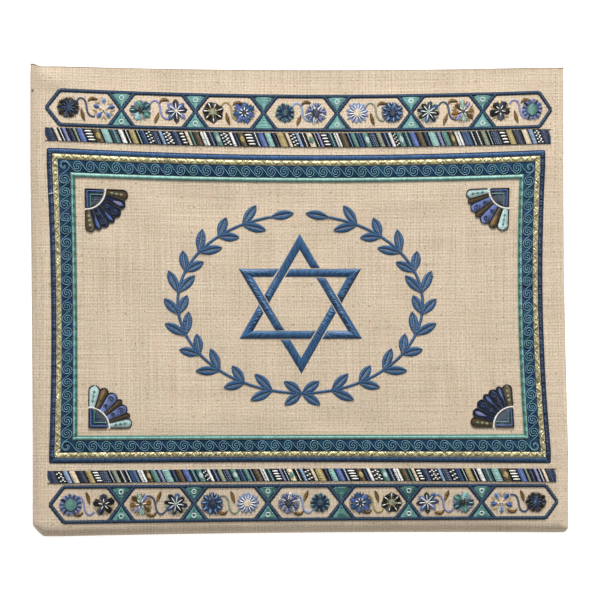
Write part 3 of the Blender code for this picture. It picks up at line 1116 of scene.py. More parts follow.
# %% Scroll band
SCROLL_PITCH = 8.35
SPIRAL_RADIUS = 3.25
SPIRAL_EYE = 0.45
SPIRAL_TURNS = 0.9
SCROLL_GROUND = srgb(22, 50, 84)
SCROLL_TEAL = srgb(22, 62, 84)
SCROLL_LINE = srgb(150, 198, 208)

ground_hoop = Hoop("scroll_ground", 24)
for side, (outer, inner) in mitred_sides(SCROLL_BAND, SATIN_PITCH).items():
    place = np.arange(len(outer)) * SATIN_PITCH
    drift = 0.5 + 0.5 * np.sin(place / 3.1 + 2 * np.sin(place / 11))[:, None]
    colours = np.array(SCROLL_GROUND) * drift + np.array(SCROLL_TEAL) * (1 - drift)
    ground_hoop.sew(outer, inner, colours, 0.86, 0.2, -0.05, 0.2)
scroll_ground = ground_hoop.take_out(MATT_THREAD)


def ring_of_spirals():
    """Centre, direction of travel and outward direction of each spiral round the frame."""
    left, right, low, high = frame_box((SCROLL_BAND.outer + SCROLL_BAND.inner) / 2)
    corners = [(left, high), (right, high), (right, low), (left, low), (left, high)]
    found = []
    for start, end in zip(corners, corners[1:]):
        start, end = np.array(start), np.array(end)
        length = np.linalg.norm(end - start)
        count = int(round(length / SCROLL_PITCH))
        travel = (end - start) / length
        for step in range(count):
            found.append((start + travel * length * step / count, travel, left_of(travel)))
    return found


def half_scroll(centre, travel, outward, side):
    """A spiral from its eye to its outermost point, which is outward for side 1 and inward for
    side -1, where it heads along the direction of travel."""
    turns = np.linspace(SPIRAL_TURNS * math.tau, 0, 22)
    radius = SPIRAL_EYE + (SPIRAL_RADIUS - SPIRAL_EYE) * (1 - turns / turns[0])
    aside = np.outer(radius * np.cos(turns), side * outward)
    along = np.outer(-radius * np.sin(turns), travel)
    return centre + aside + along


line_hoop = Hoop("scroll_line", 25)
spirals = ring_of_spirals()
for (centre, travel, outward), following in zip(spirals, spirals[1:] + spirals[:1]):
    leaving = half_scroll(centre, travel, outward, 1)
    arriving = half_scroll(following[0], -travel, outward, -1)[::-1]
    pull = travel * SCROLL_PITCH * 0.42
    joint = curve(leaving[-1], leaving[-1] + pull, arriving[0] - pull, arriving[0], 9)
    path = np.concatenate([leaving, joint[1:-1], arriving])
    line_hoop.sew(*links(path, 0.95), SCROLL_LINE, 0.46, 0.05, 0.68, 0.15)
scroll_line = line_hoop.take_out(MATT_THREAD, steps=1)
print(len(spirals), "spirals")

# %% [markdown]
# ## The two strips of bars
# Above and below the frame runs a strip of slanted bars in many colours, like a shelf of books.
# Each bar is a column of short satin stitches, and a black thread parts it from the next. Some
# carry a small pattern: checks, rungs, a net, a stripe or a diamond. The kinds of bar are dealt
# out like a pack of cards that is shuffled afresh whenever it runs out, which spreads each kind
# over the whole strip. The lower strip is the upper one turned half round.

# %% Bars
STRIP_ENDS = (11.5, 340.1)
UPPER_STRIP = (255.4, 263.6)
LOWER_STRIP = (36.0, 43.9)
BAR_SLANT = 3.7
BAR_PITCH = 0.55
END_BLOCK = 6.4
BAR_WIDTHS = (2.4, 3.0, 3.8, 4.6, 5.6)
NARROWEST_LAST_BAR = 1.5
RUNG_PITCH = 1.7
CHECK_WIDTH = 1.4
CHECK_HEIGHT = 0.9
NET_PITCH = 1.3

Kind = namedtuple("Kind", "dye marks mark_dye")
KINDS = (
    Kind(BLACK, "checks", WHITE),
    Kind(BLACK, "checks", WHITE),
    Kind(BLACK, "rungs", WHITE),
    Kind(BLACK, "rungs", WHITE),
    Kind(BLACK, "stripe", WHITE),
    Kind(BLACK, "stripe", PALE_TEAL),
    Kind(NAVY, "net", LIGHT_BLUE),
    Kind(NAVY, "plain", NAVY),
    Kind(NAVY, "stripe", LIGHT_BLUE),
    Kind(DEEP_BLUE, "plain", NAVY),
    Kind(DARK_TEAL, "stripe", LIGHT_TEAL),
    Kind(CORNFLOWER, "plain", NAVY),
    Kind(BLUE, "stripe", NAVY),
    Kind(SEA_GREEN, "plain", NAVY),
    Kind(SEA_GREEN, "diamond", PALE_TEAL),
    Kind(LIGHT_TEAL, "plain", NAVY),
    Kind(LIGHT_BLUE, "plain", NAVY),
    Kind(LAVENDER, "diamond", OLIVE),
    Kind(SLATE, "stripe", WHITE),
    Kind(WHITE, "stripe", BLACK),
    Kind(WHITE, "plain", BLACK),
    Kind(CREAM, "plain", NAVY),
    Kind(CREAM, "diamond", SEA_GREEN),
    Kind(SAGE, "plain", NAVY),
    Kind(MUSTARD, "plain", NAVY),
    Kind(OLIVE, "plain", NAVY),
    Kind(OLIVE, "diamond", MUSTARD),
)
END_KIND = Kind(NAVY, "net", BLUE)
Bar = namedtuple("Bar", "start end kind")


def dealt_bars(random):
    """Bars from one end of a strip to the other, with a navy block first and last."""
    place = STRIP_ENDS[0] + END_BLOCK
    last_place = STRIP_ENDS[1] - END_BLOCK
    bars = [Bar(STRIP_ENDS[0], place, END_KIND)]
    pack = []
    while place < last_place - NARROWEST_LAST_BAR:
        if not pack:
            pack = [KINDS[number] for number in random.permutation(len(KINDS))]
        fresh = [kind for kind in pack if kind.dye != bars[-1].kind.dye] or pack
        pack.remove(fresh[0])
        width = min(BAR_WIDTHS[random.integers(len(BAR_WIDTHS))], last_place - place)
        bars.append(Bar(place, place + width, fresh[0]))
        place += width
    return [*bars, Bar(place, STRIP_ENDS[1], END_KIND)]


def turned_bars(bars):
    """The same bars on a strip that is turned half round."""
    both_ends = sum(STRIP_ENDS)
    return [Bar(both_ends - bar.end, both_ends - bar.start, bar.kind) for bar in bars[::-1]]


def leaning(place, share):
    """A place across the strip at a share of its height, where the bars lean to the left."""
    return np.clip(place - BAR_SLANT * (share - 0.5), *STRIP_ENDS)


def across_bar(start, end, low, high, pitch, trim=0.0):
    """Stitches straight across a leaning bar."""
    count = max(1, int((high - low) / pitch))
    share = (np.arange(count) + 0.5) / count
    up = low + (high - low) * share
    left = leaning(start, share) + trim
    right = leaning(end, share) - trim
    return np.column_stack([left, up]), np.column_stack([np.maximum(right, left + 0.2), up])


def sew_bar(hoop, bar, low, high):
    dye, marks, mark_dye = bar.kind
    width = bar.end - bar.start
    middle = (bar.start + bar.end) / 2
    hoop.sew(*across_bar(bar.start, bar.end, low, high, BAR_PITCH), dye, 0.66, 0.42, 0.0)
    if marks == "rungs":
        rows = across_bar(bar.start, bar.end, low + 0.5, high - 0.5, RUNG_PITCH, 0.55)
        hoop.sew(*rows, mark_dye, 1.0, 0.2, 0.45)
    elif marks == "stripe":
        ends = [(leaning(middle, 0.0), low), (leaning(middle, 1.0), high)]
        hoop.sew(*links(ends, 1.4), mark_dye, 0.6, 0.1, 0.5)
    elif marks == "diamond" and width > 3:
        ends = [(leaning(middle, 0.25), low + 2.0), (leaning(middle, 0.75), high - 2.0)]
        diamond = rungs(ends, leaf_form(width * 0.6, 0.5, 0.3), SATIN_PITCH)
        hoop.sew(*diamond, mark_dye, 0.6, 0.2, 0.45)
    elif marks == "checks":
        columns = max(2, int(width / CHECK_WIDTH))
        step = (width - 0.5) / columns
        for column in range(columns):
            start = bar.start + 0.35 + step * column
            offset = CHECK_HEIGHT if column % 2 else 0.0
            reach = low + offset, high - CHECK_HEIGHT + offset
            dots = across_bar(start, start + step * 0.8, *reach, 2 * CHECK_HEIGHT)
            hoop.sew(*dots, mark_dye, 1.0, 0.12, 0.5)
    elif marks == "net":
        for place in np.arange(bar.start + 0.6, bar.end - 0.5, NET_PITCH):
            ends = [(leaning(place, 0.05), low + 0.5), (leaning(place, 0.95), high - 0.5)]
            starts, knots = links(ends, NET_PITCH)
            hoop.sew(starts, (starts + knots) / 2, mark_dye, 0.42, 0.1, 0.5)


bars_hoop = Hoop("strips_of_bars", 31)
separators_hoop = Hoop("bar_separators", 32)
upper_bars = dealt_bars(bars_hoop.random)
for bars, (low, high) in ((upper_bars, UPPER_STRIP), (turned_bars(upper_bars), LOWER_STRIP)):
    for bar in bars:
        sew_bar(bars_hoop, bar, low, high)
        if bar.end < STRIP_ENDS[1]:
            parting = [(leaning(bar.end, 0.0), low - 0.1), (leaning(bar.end, 1.0), high + 0.1)]
            separators_hoop.sew(*links(parting, 1.1), BLACK, 0.95, 0.12, 0.42)
    # A thin black thread along the strip's lower and upper edges: partly painted shade at the strip's
    # edges, partly the dark ends of the separators.
    for edge in (low, high):
        along = [(STRIP_ENDS[0], edge), (STRIP_ENDS[1], edge)]
        separators_hoop.sew(*links(along, 1.8), BLACK, 0.55, 0.1, 0.15)
    print(len(bars), "bars")
strips = bars_hoop.take_out(SATIN_THREAD)
separators = separators_hoop.take_out(MATT_THREAD, steps=2)

# %% [markdown]
# ## The bands of cartouches
# Each band is a row of seven six-sided cartouches that meet at their points. Sea-green
# triangles with a small white ring fill the gaps. The lower band is the upper one turned half
# round. So everything is drawn from the middle of its cartouche or crossing, and a turn of -1
# turns it round.

# %% Outlines and triangles
CartoucheRow = namedtuple("CartoucheRow", "up turn crossings")
CARTOUCHE_ROWS = (
    CartoucheRow(277.0, 1, (12.4, 60.3, 108.2, 152.5, 200.0, 247.9, 294.3, 340.1)),
    CartoucheRow(21.8, -1, (13.3, 58.3, 105.2, 152.9, 200.1, 243.6, 290.6, 340.7)),
)
HALF_HEIGHT = 11.2
CORNER_FROM_CROSSING = 8.4
OUTLINE_WIDTH = 1.9
OUTLINE_DYE = srgb(36, 64, 92)
# Dark thread along both sides of each outline: partly the cord's own dark edging, partly painted
# shade beside the raised cord.
OUTLINE_DARK_EDGE_AND_SHADE = srgb(14, 24, 42)
TRIANGLE_DYE = srgb(84, 138, 132)
RING_FROM_MIDDLE = 7.8
RING_RADIUS = 1.4
CROSSING_WITHOUT_RINGS = 2

Spot = namedtuple("Spot", "middle turn half_width")


def placed(local, spot):
    """Pattern places of places measured from the middle of a cartouche or a crossing."""
    return spot.middle + spot.turn * np.atleast_2d(np.asarray(local, float))


def cartouches(row):
    """The row's cartouches, in the order of the flowers."""
    ends = zip(row.crossings, row.crossings[1:])
    spots = [Spot(np.array([(a + b) / 2, row.up]), row.turn, (b - a) / 2) for a, b in ends]
    return spots[:: row.turn]


def crossings(row):
    spots = [Spot(np.array([across, row.up]), row.turn, 0.0) for across in row.crossings[1:-1]]
    return spots[:: row.turn]


def between(first, second, pitch):
    """Satin stitches from one path to another, which fan out where the paths differ."""
    paths = [np.asarray(path, float) for path in (first, second)]
    count = max(2, int(max(step_lengths(path).sum() for path in paths) / pitch) + 1)
    return [points_at(path, np.linspace(0, distances(path)[-1], count)) for path in paths]


def sew_outline(hoop, start, end, spot):
    """A cord of satin stitch with a dark thread along both of its sides, partly the cord's dark
    edging and partly painted shade.
    """
    ends = rungs(placed([start, end], spot), OUTLINE_WIDTH, SATIN_PITCH)
    hoop.sew(*ends, OUTLINE_DYE, 0.6, 0.55, 0.0, 0.14)
    for edge in ends:
        hoop.sew(*links(edge[[0, -1]], 2.4), OUTLINE_DARK_EDGE_AND_SHADE, 0.74, 0.05, 0.05, 0.2)


outline_hoop = Hoop("cartouche_outlines", 33)
triangle_hoop = Hoop("cartouche_triangles", 34)
ring_hoop = Hoop("small_rings", 35)
for row in CARTOUCHE_ROWS:
    for spot in cartouches(row):
        width = spot.half_width
        corner = width - CORNER_FROM_CROSSING
        for side in (HALF_HEIGHT, -HALF_HEIGHT):
            path = [(-width, 0), (-corner, side), (corner, side), (width, 0)]
            for start, end in zip(path, path[1:]):
                sew_outline(outline_hoop, start, end, spot)
    for number, spot in enumerate(crossings(row)):
        for side in (1, -1):
            height = side * HALF_HEIGHT
            ends = (-CORNER_FROM_CROSSING, height), (CORNER_FROM_CROSSING, height)
            sew_outline(outline_hoop, *ends, spot)
            near, far = side * 1.7, side * (HALF_HEIGHT - 1.1)
            reach = CORNER_FROM_CROSSING - 1.8
            slopes = [placed([(x * 0.04, near), (x, far)], spot) for x in (-reach, reach)]
            triangle_hoop.sew(*between(*slopes, SATIN_PITCH), TRIANGLE_DYE, 0.66, 0.35, 0.0)
            if number != CROSSING_WITHOUT_RINGS:
                ring = arc((0.0, side * RING_FROM_MIDDLE), RING_RADIUS, 0, 360, 11)
                ring_hoop.sew(*links(placed(ring, spot), 0.85), WHITE, 0.6, 0.12, 0.5)
outlines = outline_hoop.take_out(SATIN_THREAD)
triangles = triangle_hoop.take_out(SATIN_THREAD)
rings = ring_hoop.take_out(SATIN_THREAD, steps=2)

# %% [markdown]
# Each cartouche holds two flowers, joined by an S-shaped stem with two brown leaves. A flower
# is a ring of satin petals, with a streak along each, small points between them, rays over
# them and an eye. Each row of the table is one flower, so fourteen different ones come out of
# one function. Angles and lengths vary a little by chance, as handwork does.

# %% Flowers
Flower = namedtuple(
    "Flower", "across petals start reach width dyes streak points rays ray_reach ray_dye eye eye_dye"
)
MID_BLUE = (CORNFLOWER, LIGHT_BLUE, CORNFLOWER)
PALE_MIX = (BROWN_GOLD, LAVENDER, LIGHT_TEAL, OLIVE)
TEAL_MIX = (DARK_TEAL, SEA_GREEN, DARK_TEAL, LIGHT_TEAL, SEA_GREEN)
STAR_MIX = (CORNFLOWER, BLACK, LAVENDER, SLATE, BLUE, BLACK, LAVENDER, NAVY)
FLOWERS = (
    Flower(-10.2, 10, 0.8, 7.0, 4.3, (BLACK, NAVY), None, OLIVE, 10, 4.2, SLATE, 2.1, DEEP_BLUE),
    Flower(12.4, 5, 2.7, 7.2, 3.3, MID_BLUE, BLUE, MUSTARD, 5, 3.0, CREAM, 0.8, CREAM),
    Flower(-11.5, 5, 0.8, 7.1, 6.4, TEAL_MIX, LIGHT_TEAL, LAVENDER, 5, 3.2, BLACK, 1.5, BLACK),
    Flower(11.6, 8, 0.8, 7.6, 4.0, STAR_MIX, None, None, 8, 5.2, WHITE, 1.0, CREAM),
    Flower(-10.8, 7, 2.0, 7.0, 6.0, (BLACK,), WHITE, None, 7, 4.6, MUSTARD, 2.0, SAGE),
    Flower(9.4, 7, 0.8, 7.3, 3.9, (BLUE, CORNFLOWER), None, NAVY, 7, 3.2, WHITE, 1.7, BLACK),
    Flower(-9.9, 11, 0.8, 6.3, 3.5, (NAVY, DEEP_BLUE), None, SEA_GREEN, 0, 0.0, NAVY, 2.2, DARK_TEAL),
    Flower(10.1, 10, 1.2, 6.9, 3.0, (WHITE, LAVENDER), CORNFLOWER, SLATE, 10, 4.4, NAVY, 2.5, NAVY),
    Flower(-10.7, 14, 1.5, 7.2, 2.7, (LAVENDER, LIGHT_BLUE), None, None, 14, 5.4, WHITE, 2.4, CREAM),
    Flower(12.0, 9, 1.0, 7.3, 3.6, (BLUE,), LIGHT_BLUE, NAVY, 9, 3.6, NAVY, 2.3, NAVY),
    Flower(-11.9, 8, 0.8, 7.4, 3.7, (NAVY, BLACK, BLUE), None, SAGE, 8, 5.0, WHITE, 1.2, LIGHT_TEAL),
    Flower(10.7, 8, 1.2, 7.4, 2.9, PALE_MIX, None, BROWN_GOLD, 6, 3.4, WHITE, 1.2, BLACK),
    Flower(-11.5, 5, 0.8, 7.0, 5.6, (BLACK, NAVY), None, MUSTARD, 5, 3.6, WHITE, 1.3, BLACK),
    Flower(9.8, 13, 2.6, 7.0, 3.0, (BLUE, NAVY, SLATE), None, LAVENDER, 0, 0.0, BLUE, 3.7, SEA_GREEN),
)
FLOWER_TURN = 17.0


def sew_disc(hoop, centre, radius, dye, lift):
    """A round eye of straight stitches."""
    count = max(3, int(2 * radius / 0.5))
    up = (np.arange(count) + 0.5) / count * 2 * radius - radius
    half = np.sqrt(radius**2 - up**2)
    left = np.column_stack([centre[0] - half, centre[1] + up])
    hoop.sew(left, left + np.column_stack([2 * half, 0 * half]), dye, 0.6, 0.35, lift)


def spoke(centre, angle, start, end):
    """Both ends of a straight run out of a flower's middle, at an angle in degrees."""
    return centre + towards(angle) * start, centre + towards(angle) * end


def sew_flower(hoop, flower, centre, first_angle):
    step = 360 / flower.petals
    for number in range(flower.petals):
        angle = first_angle + step * number + hoop.random.uniform(-4, 4)
        reach = flower.reach * hoop.random.uniform(0.9, 1.05)
        form = leaf_form(flower.width * hoop.random.uniform(0.85, 1.1), 0.7, 0.7)
        dye = flower.dyes[number % len(flower.dyes)]
        petal = rungs(spoke(centre, angle, flower.start, reach), form, SATIN_PITCH)
        hoop.sew(*petal, dye, 0.6, 0.45, 0.05, 0.16)
        if flower.streak is not None:
            streak = spoke(centre, angle, reach * 0.55, reach * 0.92)
            hoop.sew(*streak, flower.streak, 0.8, 0.25, 0.5)
        if flower.points is not None:
            inner = spoke(centre, angle + step / 2, 0.0, flower.reach * 0.62)[1]
            for lean in (-0.2, 0.2):
                tip = spoke(centre, angle + step * (0.5 + lean), 0.0, flower.reach * 1.02)[1]
                hoop.sew(inner, tip, flower.points, 0.6, 0.2, 0.35)
    for number in range(flower.rays):
        angle = first_angle + 360 * number / flower.rays
        ray = spoke(centre, angle, flower.eye * 0.7, flower.ray_reach)
        hoop.sew(*ray, flower.ray_dye, 0.7, 0.35, 0.55)
    sew_disc(hoop, centre, flower.eye, flower.eye_dye, 0.6)


flower_hoop = Hoop("flowers", 36)
for row in CARTOUCHE_ROWS:
    for number, spot in enumerate(cartouches(row)):
        for place, flower in enumerate(FLOWERS[2 * number : 2 * number + 2]):
            centre = placed((flower.across, 0.2), spot)[0]
            first_angle = FLOWER_TURN * (2 * number + place) + 180 * (spot.turn < 0)
            sew_flower(flower_hoop, flower, centre, first_angle)
flowers = flower_hoop.take_out(SATIN_THREAD, steps=2)

# %% Stems and leaves
STEM_WIDTH = 1.35
STEM_DYES = (SLATE, LAVENDER, MUSTARD, LIGHT_BLUE, SAGE, SLATE, LAVENDER)
STEM_RISE = ((-5.0, 4.6), (-3.6, 8.0), (0.6, 7.6), (1.2, 1.6))
STEM_FALL = ((1.2, 1.6), (1.6, -2.8), (3.0, -5.6), (6.6, -5.0))
LeafPair = namedtuple("LeafPair", "upper lower")
LEAF_PAIRS = (
    LeafPair(
        ((2.2, 4.8), (3.6, 7.0), (5.6, 6.9), (8.4, 6.4)),
        ((-2.2, 0.0), (-1.9, -2.4), (-1.2, -4.6), (0.2, -7.8)),
    ),
    LeafPair(
        ((0.8, 5.2), (2.0, 7.8), (4.4, 8.2), (7.0, 6.8)),
        ((0.4, -1.0), (-0.4, -2.8), (-1.0, -5.2), (-2.0, -8.0)),
    ),
)
LEAF_WIDTH = 2.8
LEAF_SLANT = 25
LEAF_DYE = srgb(110, 80, 36)
# A lighter colour for a line along each leaf's middle: painted highlight on the satin.
LEAF_PAINTED_HIGHLIGHT = srgb(164, 130, 66)

stem_hoop = Hoop("stems_and_leaves", 37)
for row in CARTOUCHE_ROWS:
    for number, spot in enumerate(cartouches(row)):
        for pulls in (STEM_RISE, STEM_FALL):
            stem = rungs(placed(curve(*pulls), spot), STEM_WIDTH, SATIN_PITCH)
            stem_hoop.sew(*stem, STEM_DYES[number], 0.58, 0.35, 0.05)
        for pulls in LEAF_PAIRS[number % 2]:
            run = placed(curve(*pulls), spot)
            leaf = rungs(run, leaf_form(LEAF_WIDTH, 0.55, 0.4), SATIN_PITCH, LEAF_SLANT)
            stem_hoop.sew(*leaf, LEAF_DYE, 0.6, 0.4, 0.15, 0.3)
            # Painted highlight: a lighter thread along the middle of each leaf.
            stem_hoop.sew(*links(run[6:-6], 1.5), LEAF_PAINTED_HIGHLIGHT, 0.55, 0.1, 0.5, 0.2)
stems = stem_hoop.take_out(SATIN_THREAD, steps=2)

# %% [markdown]
# ## Quarter fans
# A fan sits in each inner corner of the frame. It is a blue quarter disc with lines nested in
# its corner, a white arc, and seven round-ended petals that spread from the arc. Two opposite
# corners share one set of dyes, and the other two share another.

# %% Fans
Petal = namedtuple("Petal", "start end dye trim marks")
Corner = namedtuple("Corner", "across up side_x side_y petals")
FAN_REACH = 28.2
FAN_DISC = 12.7
FAN_ARC = 13.5
FAN_PETALS_FROM = 14.2
DUSK_BLUE = srgb(106, 120, 174)
DISC_DYE = srgb(8, 42, 66)
FAN_FIRST = (
    Petal(0.5, 15.5, OLIVE, SAGE, "drops"),
    Petal(15.5, 29.0, NAVY, LAVENDER, "streak"),
    Petal(29.0, 44.5, NAVY, SLATE, "spiral"),
    Petal(44.5, 54.0, NAVY, CORNFLOWER, "streak"),
    Petal(54.0, 66.5, NAVY, SLATE, "spiral"),
    Petal(66.5, 75.5, NAVY, CORNFLOWER, "streak"),
    Petal(75.5, 89.5, OLIVE, SAGE, "drops"),
)
FAN_SECOND = (
    Petal(0.5, 14.5, PALE_TEAL, SEA_GREEN, "drops"),
    Petal(14.5, 21.5, OLIVE, BROWN_GOLD, "plain"),
    Petal(21.5, 36.5, DUSK_BLUE, NAVY, "spiral"),
    Petal(36.5, 44.0, OLIVE, BROWN_GOLD, "plain"),
    Petal(44.0, 60.5, DUSK_BLUE, NAVY, "spiral"),
    Petal(60.5, 73.0, OLIVE, BROWN_GOLD, "streak"),
    Petal(73.0, 89.5, PALE_TEAL, SEA_GREEN, "drops"),
)
CORNERS = (
    Corner(36.3, 225.8, 1, -1, FAN_FIRST),
    Corner(312.1, 227.3, -1, -1, FAN_SECOND),
    Corner(37.4, 70.6, 1, 1, FAN_SECOND),
    Corner(312.5, 70.4, -1, 1, FAN_FIRST),
)


def from_corner(corner, local):
    """Pattern places of places measured inwards from a fan's own corner."""
    local = np.atleast_2d(np.asarray(local, float))
    turned = local * np.array([corner.side_x, corner.side_y])
    return turned + np.array([corner.across, corner.up])


def radial(radius, angle):
    turn = np.radians(angle)
    return np.column_stack([radius * np.cos(turn), radius * np.sin(turn)])


def petal_sides(petal, count=14):
    """The two long edges of a petal, from the white arc to its round end."""
    middle, half = (petal.start + petal.end) / 2, (petal.end - petal.start) / 2
    tip_radius = FAN_REACH * math.sin(math.radians(half)) * 0.92
    along = np.linspace(FAN_PETALS_FROM, FAN_REACH, count)
    into_tip = np.clip((along - FAN_REACH + tip_radius) / tip_radius, 0, 1)
    spread = half * np.sqrt(np.clip(1 - into_tip**2, 0.01, 1))
    return radial(along, middle - spread), radial(along, middle + spread)


def sew_petal(fills, lines, corner, petal):
    low_side, high_side = petal_sides(petal)
    middle = np.full(2, (petal.start + petal.end) / 2)
    low, high = from_corner(corner, low_side), from_corner(corner, high_side)
    fills.sew(*between(low, high, 0.5), petal.dye, 0.64, 0.42, 0.0)
    border = np.concatenate([low, high[::-1]])
    lines.sew(*links(border, 1.1), BLACK, 1.0, 0.12, 0.3)
    if petal.marks == "streak":
        run = from_corner(corner, radial(np.array([20.0, 26.4]), middle))
        width = leaf_form(math.radians(petal.end - petal.start) * 11, 0.7, 0.5)
        lines.sew(*rungs(run, width, 0.5), petal.trim, 0.6, 0.3, 0.45)
    elif petal.marks == "drops":
        for place in (17.8, 20.8, 23.8):
            run = from_corner(corner, radial(np.array([place - 0.9, place + 0.9]), middle))
            lines.sew(*rungs(run, leaf_form(1.9, 0.6, 0.5), 0.5), petal.trim, 0.6, 0.3, 0.45)
    elif petal.marks == "spiral":
        turns = np.linspace(0.3, 1.6 * math.tau, 20)
        for place, spread in ((24.0, 0.22), (18.2, 0.15)):
            centre = radial(np.array([place]), middle[:1])[0]
            wound = np.column_stack([np.cos(turns), np.sin(turns)]) * (turns * spread)[:, None]
            lines.sew(*links(from_corner(corner, centre + wound), 0.8), petal.trim, 0.6, 0.1, 0.72)


NestedLine = namedtuple("NestedLine", "inset dye thick")
NESTED_LINES = (
    NestedLine(0.2, BLACK, 0.9),
    NestedLine(1.4, CORNFLOWER, 0.9),
    NestedLine(3.6, SEA_GREEN, 0.8),
)

fan_hoop = Hoop("fans", 41)
fan_lines_hoop = Hoop("fan_lines", 42)
for corner in CORNERS:
    for petal in corner.petals:
        sew_petal(fan_hoop, fan_lines_hoop, corner, petal)
    rows = np.arange(0.3, FAN_DISC, 0.5)
    reach = np.sqrt(FAN_DISC**2 - rows**2)
    disc = [from_corner(corner, np.column_stack([edge, rows])) for edge in (0 * rows, reach)]
    fan_hoop.sew(*disc, DISC_DYE, 0.64, 0.4, 0.0)
    white_arc = from_corner(corner, arc((0, 0), FAN_ARC, 0, 90))
    fan_hoop.sew(*rungs(white_arc, 0.9, 0.5), WHITE, 0.55, 0.4, 0.3)
    for inset, dye, thick in NESTED_LINES:
        reach = math.sqrt(FAN_DISC**2 - inset**2) - 0.6
        nested = from_corner(corner, [(reach, inset), (inset, inset), (inset, reach)])
        fan_lines_hoop.sew(*links(nested, 1.3), dye, thick, 0.15, 0.5)
fans = fan_hoop.take_out(SATIN_THREAD)
fan_lines = fan_lines_hoop.take_out(SATIN_THREAD, steps=2)

# %% [markdown]
# ## The middle
# The field inside the frame carries a bold design in blue satin stitch. Here it is a
# six-pointed star of two interlaced triangles in a wreath of leaves. Where one band of the star
# passes under another, its stitches stop at the edge of the band above. A leaf is sewn in two
# halves from its midrib, with stitches that lean towards its tip.

# %% Interlaced star
STAR_CENTRE = np.array([176.0, 152.5])
STAR_REACH = 41.0
STAR_WIDTH = 5.3
STAR_GAP = 0.55
STAR_ARCH = 1.0
SATIN_BLUE = srgb(50, 88, 126)


def triangle_corners(reach, first_angle):
    angles = first_angle + np.array([0.0, 120.0, 240.0])
    return STAR_CENTRE + radial(np.full(3, reach), angles)


def star_sides():
    """Each side of both triangles: its middle line, and its outer and inner edges."""
    sides = []
    for first_angle in (90.0, 30.0):
        rings_of_corners = [
            triangle_corners(reach, first_angle)
            for reach in (STAR_REACH, STAR_REACH + STAR_WIDTH, STAR_REACH - STAR_WIDTH)
        ]
        for number in range(3):
            following = (number + 1) % 3
            sides.append([ring[[number, following]] for ring in rings_of_corners])
    return sides


def outside_band(starts, ends, line, half):
    """The part of each stitch that lies clear of a band along a line. Stitches that have no
    such part are left out."""
    aside = left_of(unit(line[1] - line[0]))
    start_off = (starts - line[0]) @ aside
    end_off = (ends - line[0]) @ aside
    keep = (np.abs(start_off) > half) | (np.abs(end_off) > half)
    starts, ends, start_off, end_off = (v[keep] for v in (starts, ends, start_off, end_off))
    limit = half * np.sign(np.where(np.abs(start_off) > half, start_off, end_off))
    gap = np.where(np.abs(end_off - start_off) < 1e-6, 1.0, end_off - start_off)
    share = np.clip((limit - start_off) / gap, 0, 1)[:, None]
    meeting = starts + (ends - starts) * share
    starts = np.where((np.abs(start_off) > half)[:, None], starts, meeting)
    ends = np.where((np.abs(end_off) > half)[:, None], ends, meeting)
    return starts, ends


star_hoop = Hoop("star", 51)
all_sides = star_sides()
for number, (middle, outer, inner) in enumerate(all_sides):
    starts, ends = between(outer, inner, SATIN_PITCH)
    others = all_sides[3:] if number < 3 else all_sides[:3]
    under_at = middle[0] + (middle[1] - middle[0]) * 2 / 3
    offs = []
    for other in others:
        direction = unit(other[0][1] - other[0][0])
        away = under_at - other[0][0]
        offs.append(abs(away[0] * direction[1] - away[1] * direction[0]))
    over_line = others[int(np.argmin(offs))][0]
    near = np.linalg.norm((starts + ends) / 2 - under_at, axis=1) < STAR_WIDTH * 2
    cut = outside_band(starts[near], ends[near], over_line, STAR_WIDTH / 2 + STAR_GAP)
    starts = np.concatenate([starts[~near], cut[0]])
    ends = np.concatenate([ends[~near], cut[1]])
    rise = full_arch(starts, ends, STAR_ARCH, STAR_WIDTH)
    star_hoop.sew(starts, ends, SATIN_BLUE, 0.7, rise, -0.15, 0.16)
star = star_hoop.take_out(SATIN_THREAD, steps=4)

# %% Wreath of leaves
WREATH_REACH = (80.0, 59.0)
WREATH_LEAVES = 24
WREATH_OPEN_AT_TOP = 14.0
WREATH_STEM = 1.9
WREATH_LEAF = 15.5
WREATH_LEAF_WIDTH = 6.4
WREATH_LEAF_TURN = 34.0
SHORT_LEAF_SHARE = 0.88
LEAF_SWEEP = 0.10
MIDRIB_HALF_GAP = 0.12

wreath_hoop = Hoop("wreath", 52)


def on_wreath(angle):
    turn = np.radians(angle)
    return STAR_CENTRE + np.column_stack(
        [WREATH_REACH[0] * np.cos(turn), WREATH_REACH[1] * np.sin(turn)]
    )


def sew_leaf(hoop, root, angle, length, widest, dye):
    """A leaf in two halves, each a fan of stitches from the midrib to the edge."""
    outwards = towards(angle)
    aside = left_of(outwards)
    share = np.linspace(0, 1, 16)
    midrib = root + np.outer(share * length, outwards)
    half = leaf_form(widest, 0.42, 0.3)(share)[:, None] / 2
    ahead = np.outer(np.sin(share * np.pi) * length * LEAF_SWEEP, outwards)
    for side in (1, -1):
        root_line = midrib + side * aside * MIDRIB_HALF_GAP
        edge = midrib + side * aside * half + ahead
        hoop.sew(*between(root_line, edge, SATIN_PITCH), dye, 0.6, 0.5, 0.0)


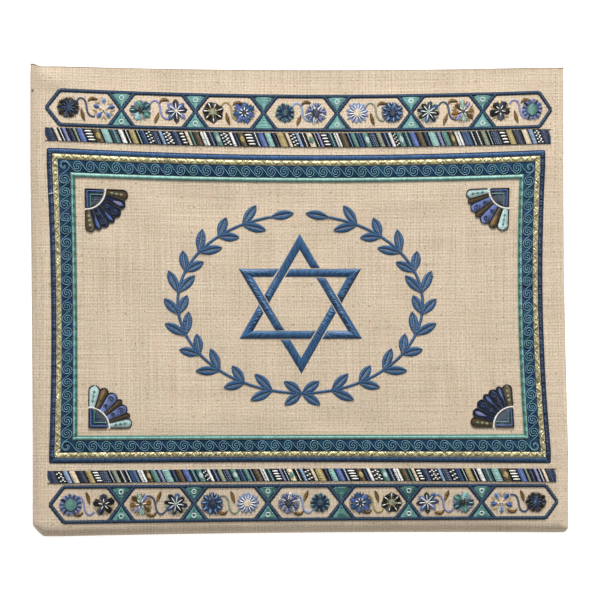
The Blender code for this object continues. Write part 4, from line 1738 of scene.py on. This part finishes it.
for side in (1, -1):
    angles = np.linspace(-90.0, 90.0 - WREATH_OPEN_AT_TOP, WREATH_LEAVES // 2 + 1)
    if side < 0:
        angles = 180.0 - angles
    stem = on_wreath(np.linspace(angles[0], angles[-1], 90))
    wreath_hoop.sew(*rungs(stem, WREATH_STEM, 0.5), SATIN_BLUE, 0.6, 0.45, 0.0)
    for number, angle in enumerate(angles[:-1]):
        root = on_wreath(np.array([angle, angle + side * 0.5]))
        heading = math.degrees(math.atan2(*(root[1] - root[0])[::-1]))
        length = WREATH_LEAF * (1.0 if number % 2 else SHORT_LEAF_SHARE)
        for turn in (heading + WREATH_LEAF_TURN, heading - WREATH_LEAF_TURN):
            sew_leaf(wreath_hoop, root[0], turn, length, WREATH_LEAF_WIDTH, SATIN_BLUE)
    tip = on_wreath(np.array([angles[-1], angles[-1] + side * 0.5]))
    heading = math.degrees(math.atan2(*(tip[1] - tip[0])[::-1]))
    sew_leaf(wreath_hoop, tip[0], heading, WREATH_LEAF, WREATH_LEAF_WIDTH, SATIN_BLUE)
wreath = wreath_hoop.take_out(SATIN_THREAD, steps=3)

# %% [markdown]
# ## Small marks of the making
# A row of short linen-coloured stitches holds the seam near the top right corner. One white
# thread end has been left on the frame's left side, and a black thread shows at the left seam.

# %% Seam stitches and stray ends
SEAM_RUN = ((343.4, 232.0), (343.6, 303.0))
SEAM_PITCH = 2.6
SEAM_STITCH_SHARE = 0.6
WHITE_END = ((13.2, 221.4), (14.6, 223.0), (16.0, 221.0), (17.2, 223.2))
BLACK_END = ((1.2, 288.6), (3.0, 288.0))

seam_hoop = Hoop("seam_stitches", 61)
seam_starts, seam_ends = links(SEAM_RUN, SEAM_PITCH)
seam_ends = seam_starts + (seam_ends - seam_starts) * SEAM_STITCH_SHARE
seam_hoop.sew(seam_starts, seam_ends, LINEN, 0.55, 0.2, 0.0)
seam_hoop.sew(*links(curve(*WHITE_END, 8), 1.0), WHITE, 0.45, 0.15, 0.75)
seam_hoop.sew(*BLACK_END, BLACK, 0.8, 0.3, 0.0)
seam_stitches = seam_hoop.take_out(MATT_THREAD)

# %% Finish
THREADS = (
    blue_cord, gold_plait, teal_cord, scroll_ground, scroll_line, strips, separators, outlines,
    triangles, rings, flowers, stems, fans, fan_lines, star, wreath, seam_stitches,
)
for piece in (*THREADS, front_piece, back_piece):
    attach(piece, BODY)
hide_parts("front_panel")
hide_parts("back_panel")
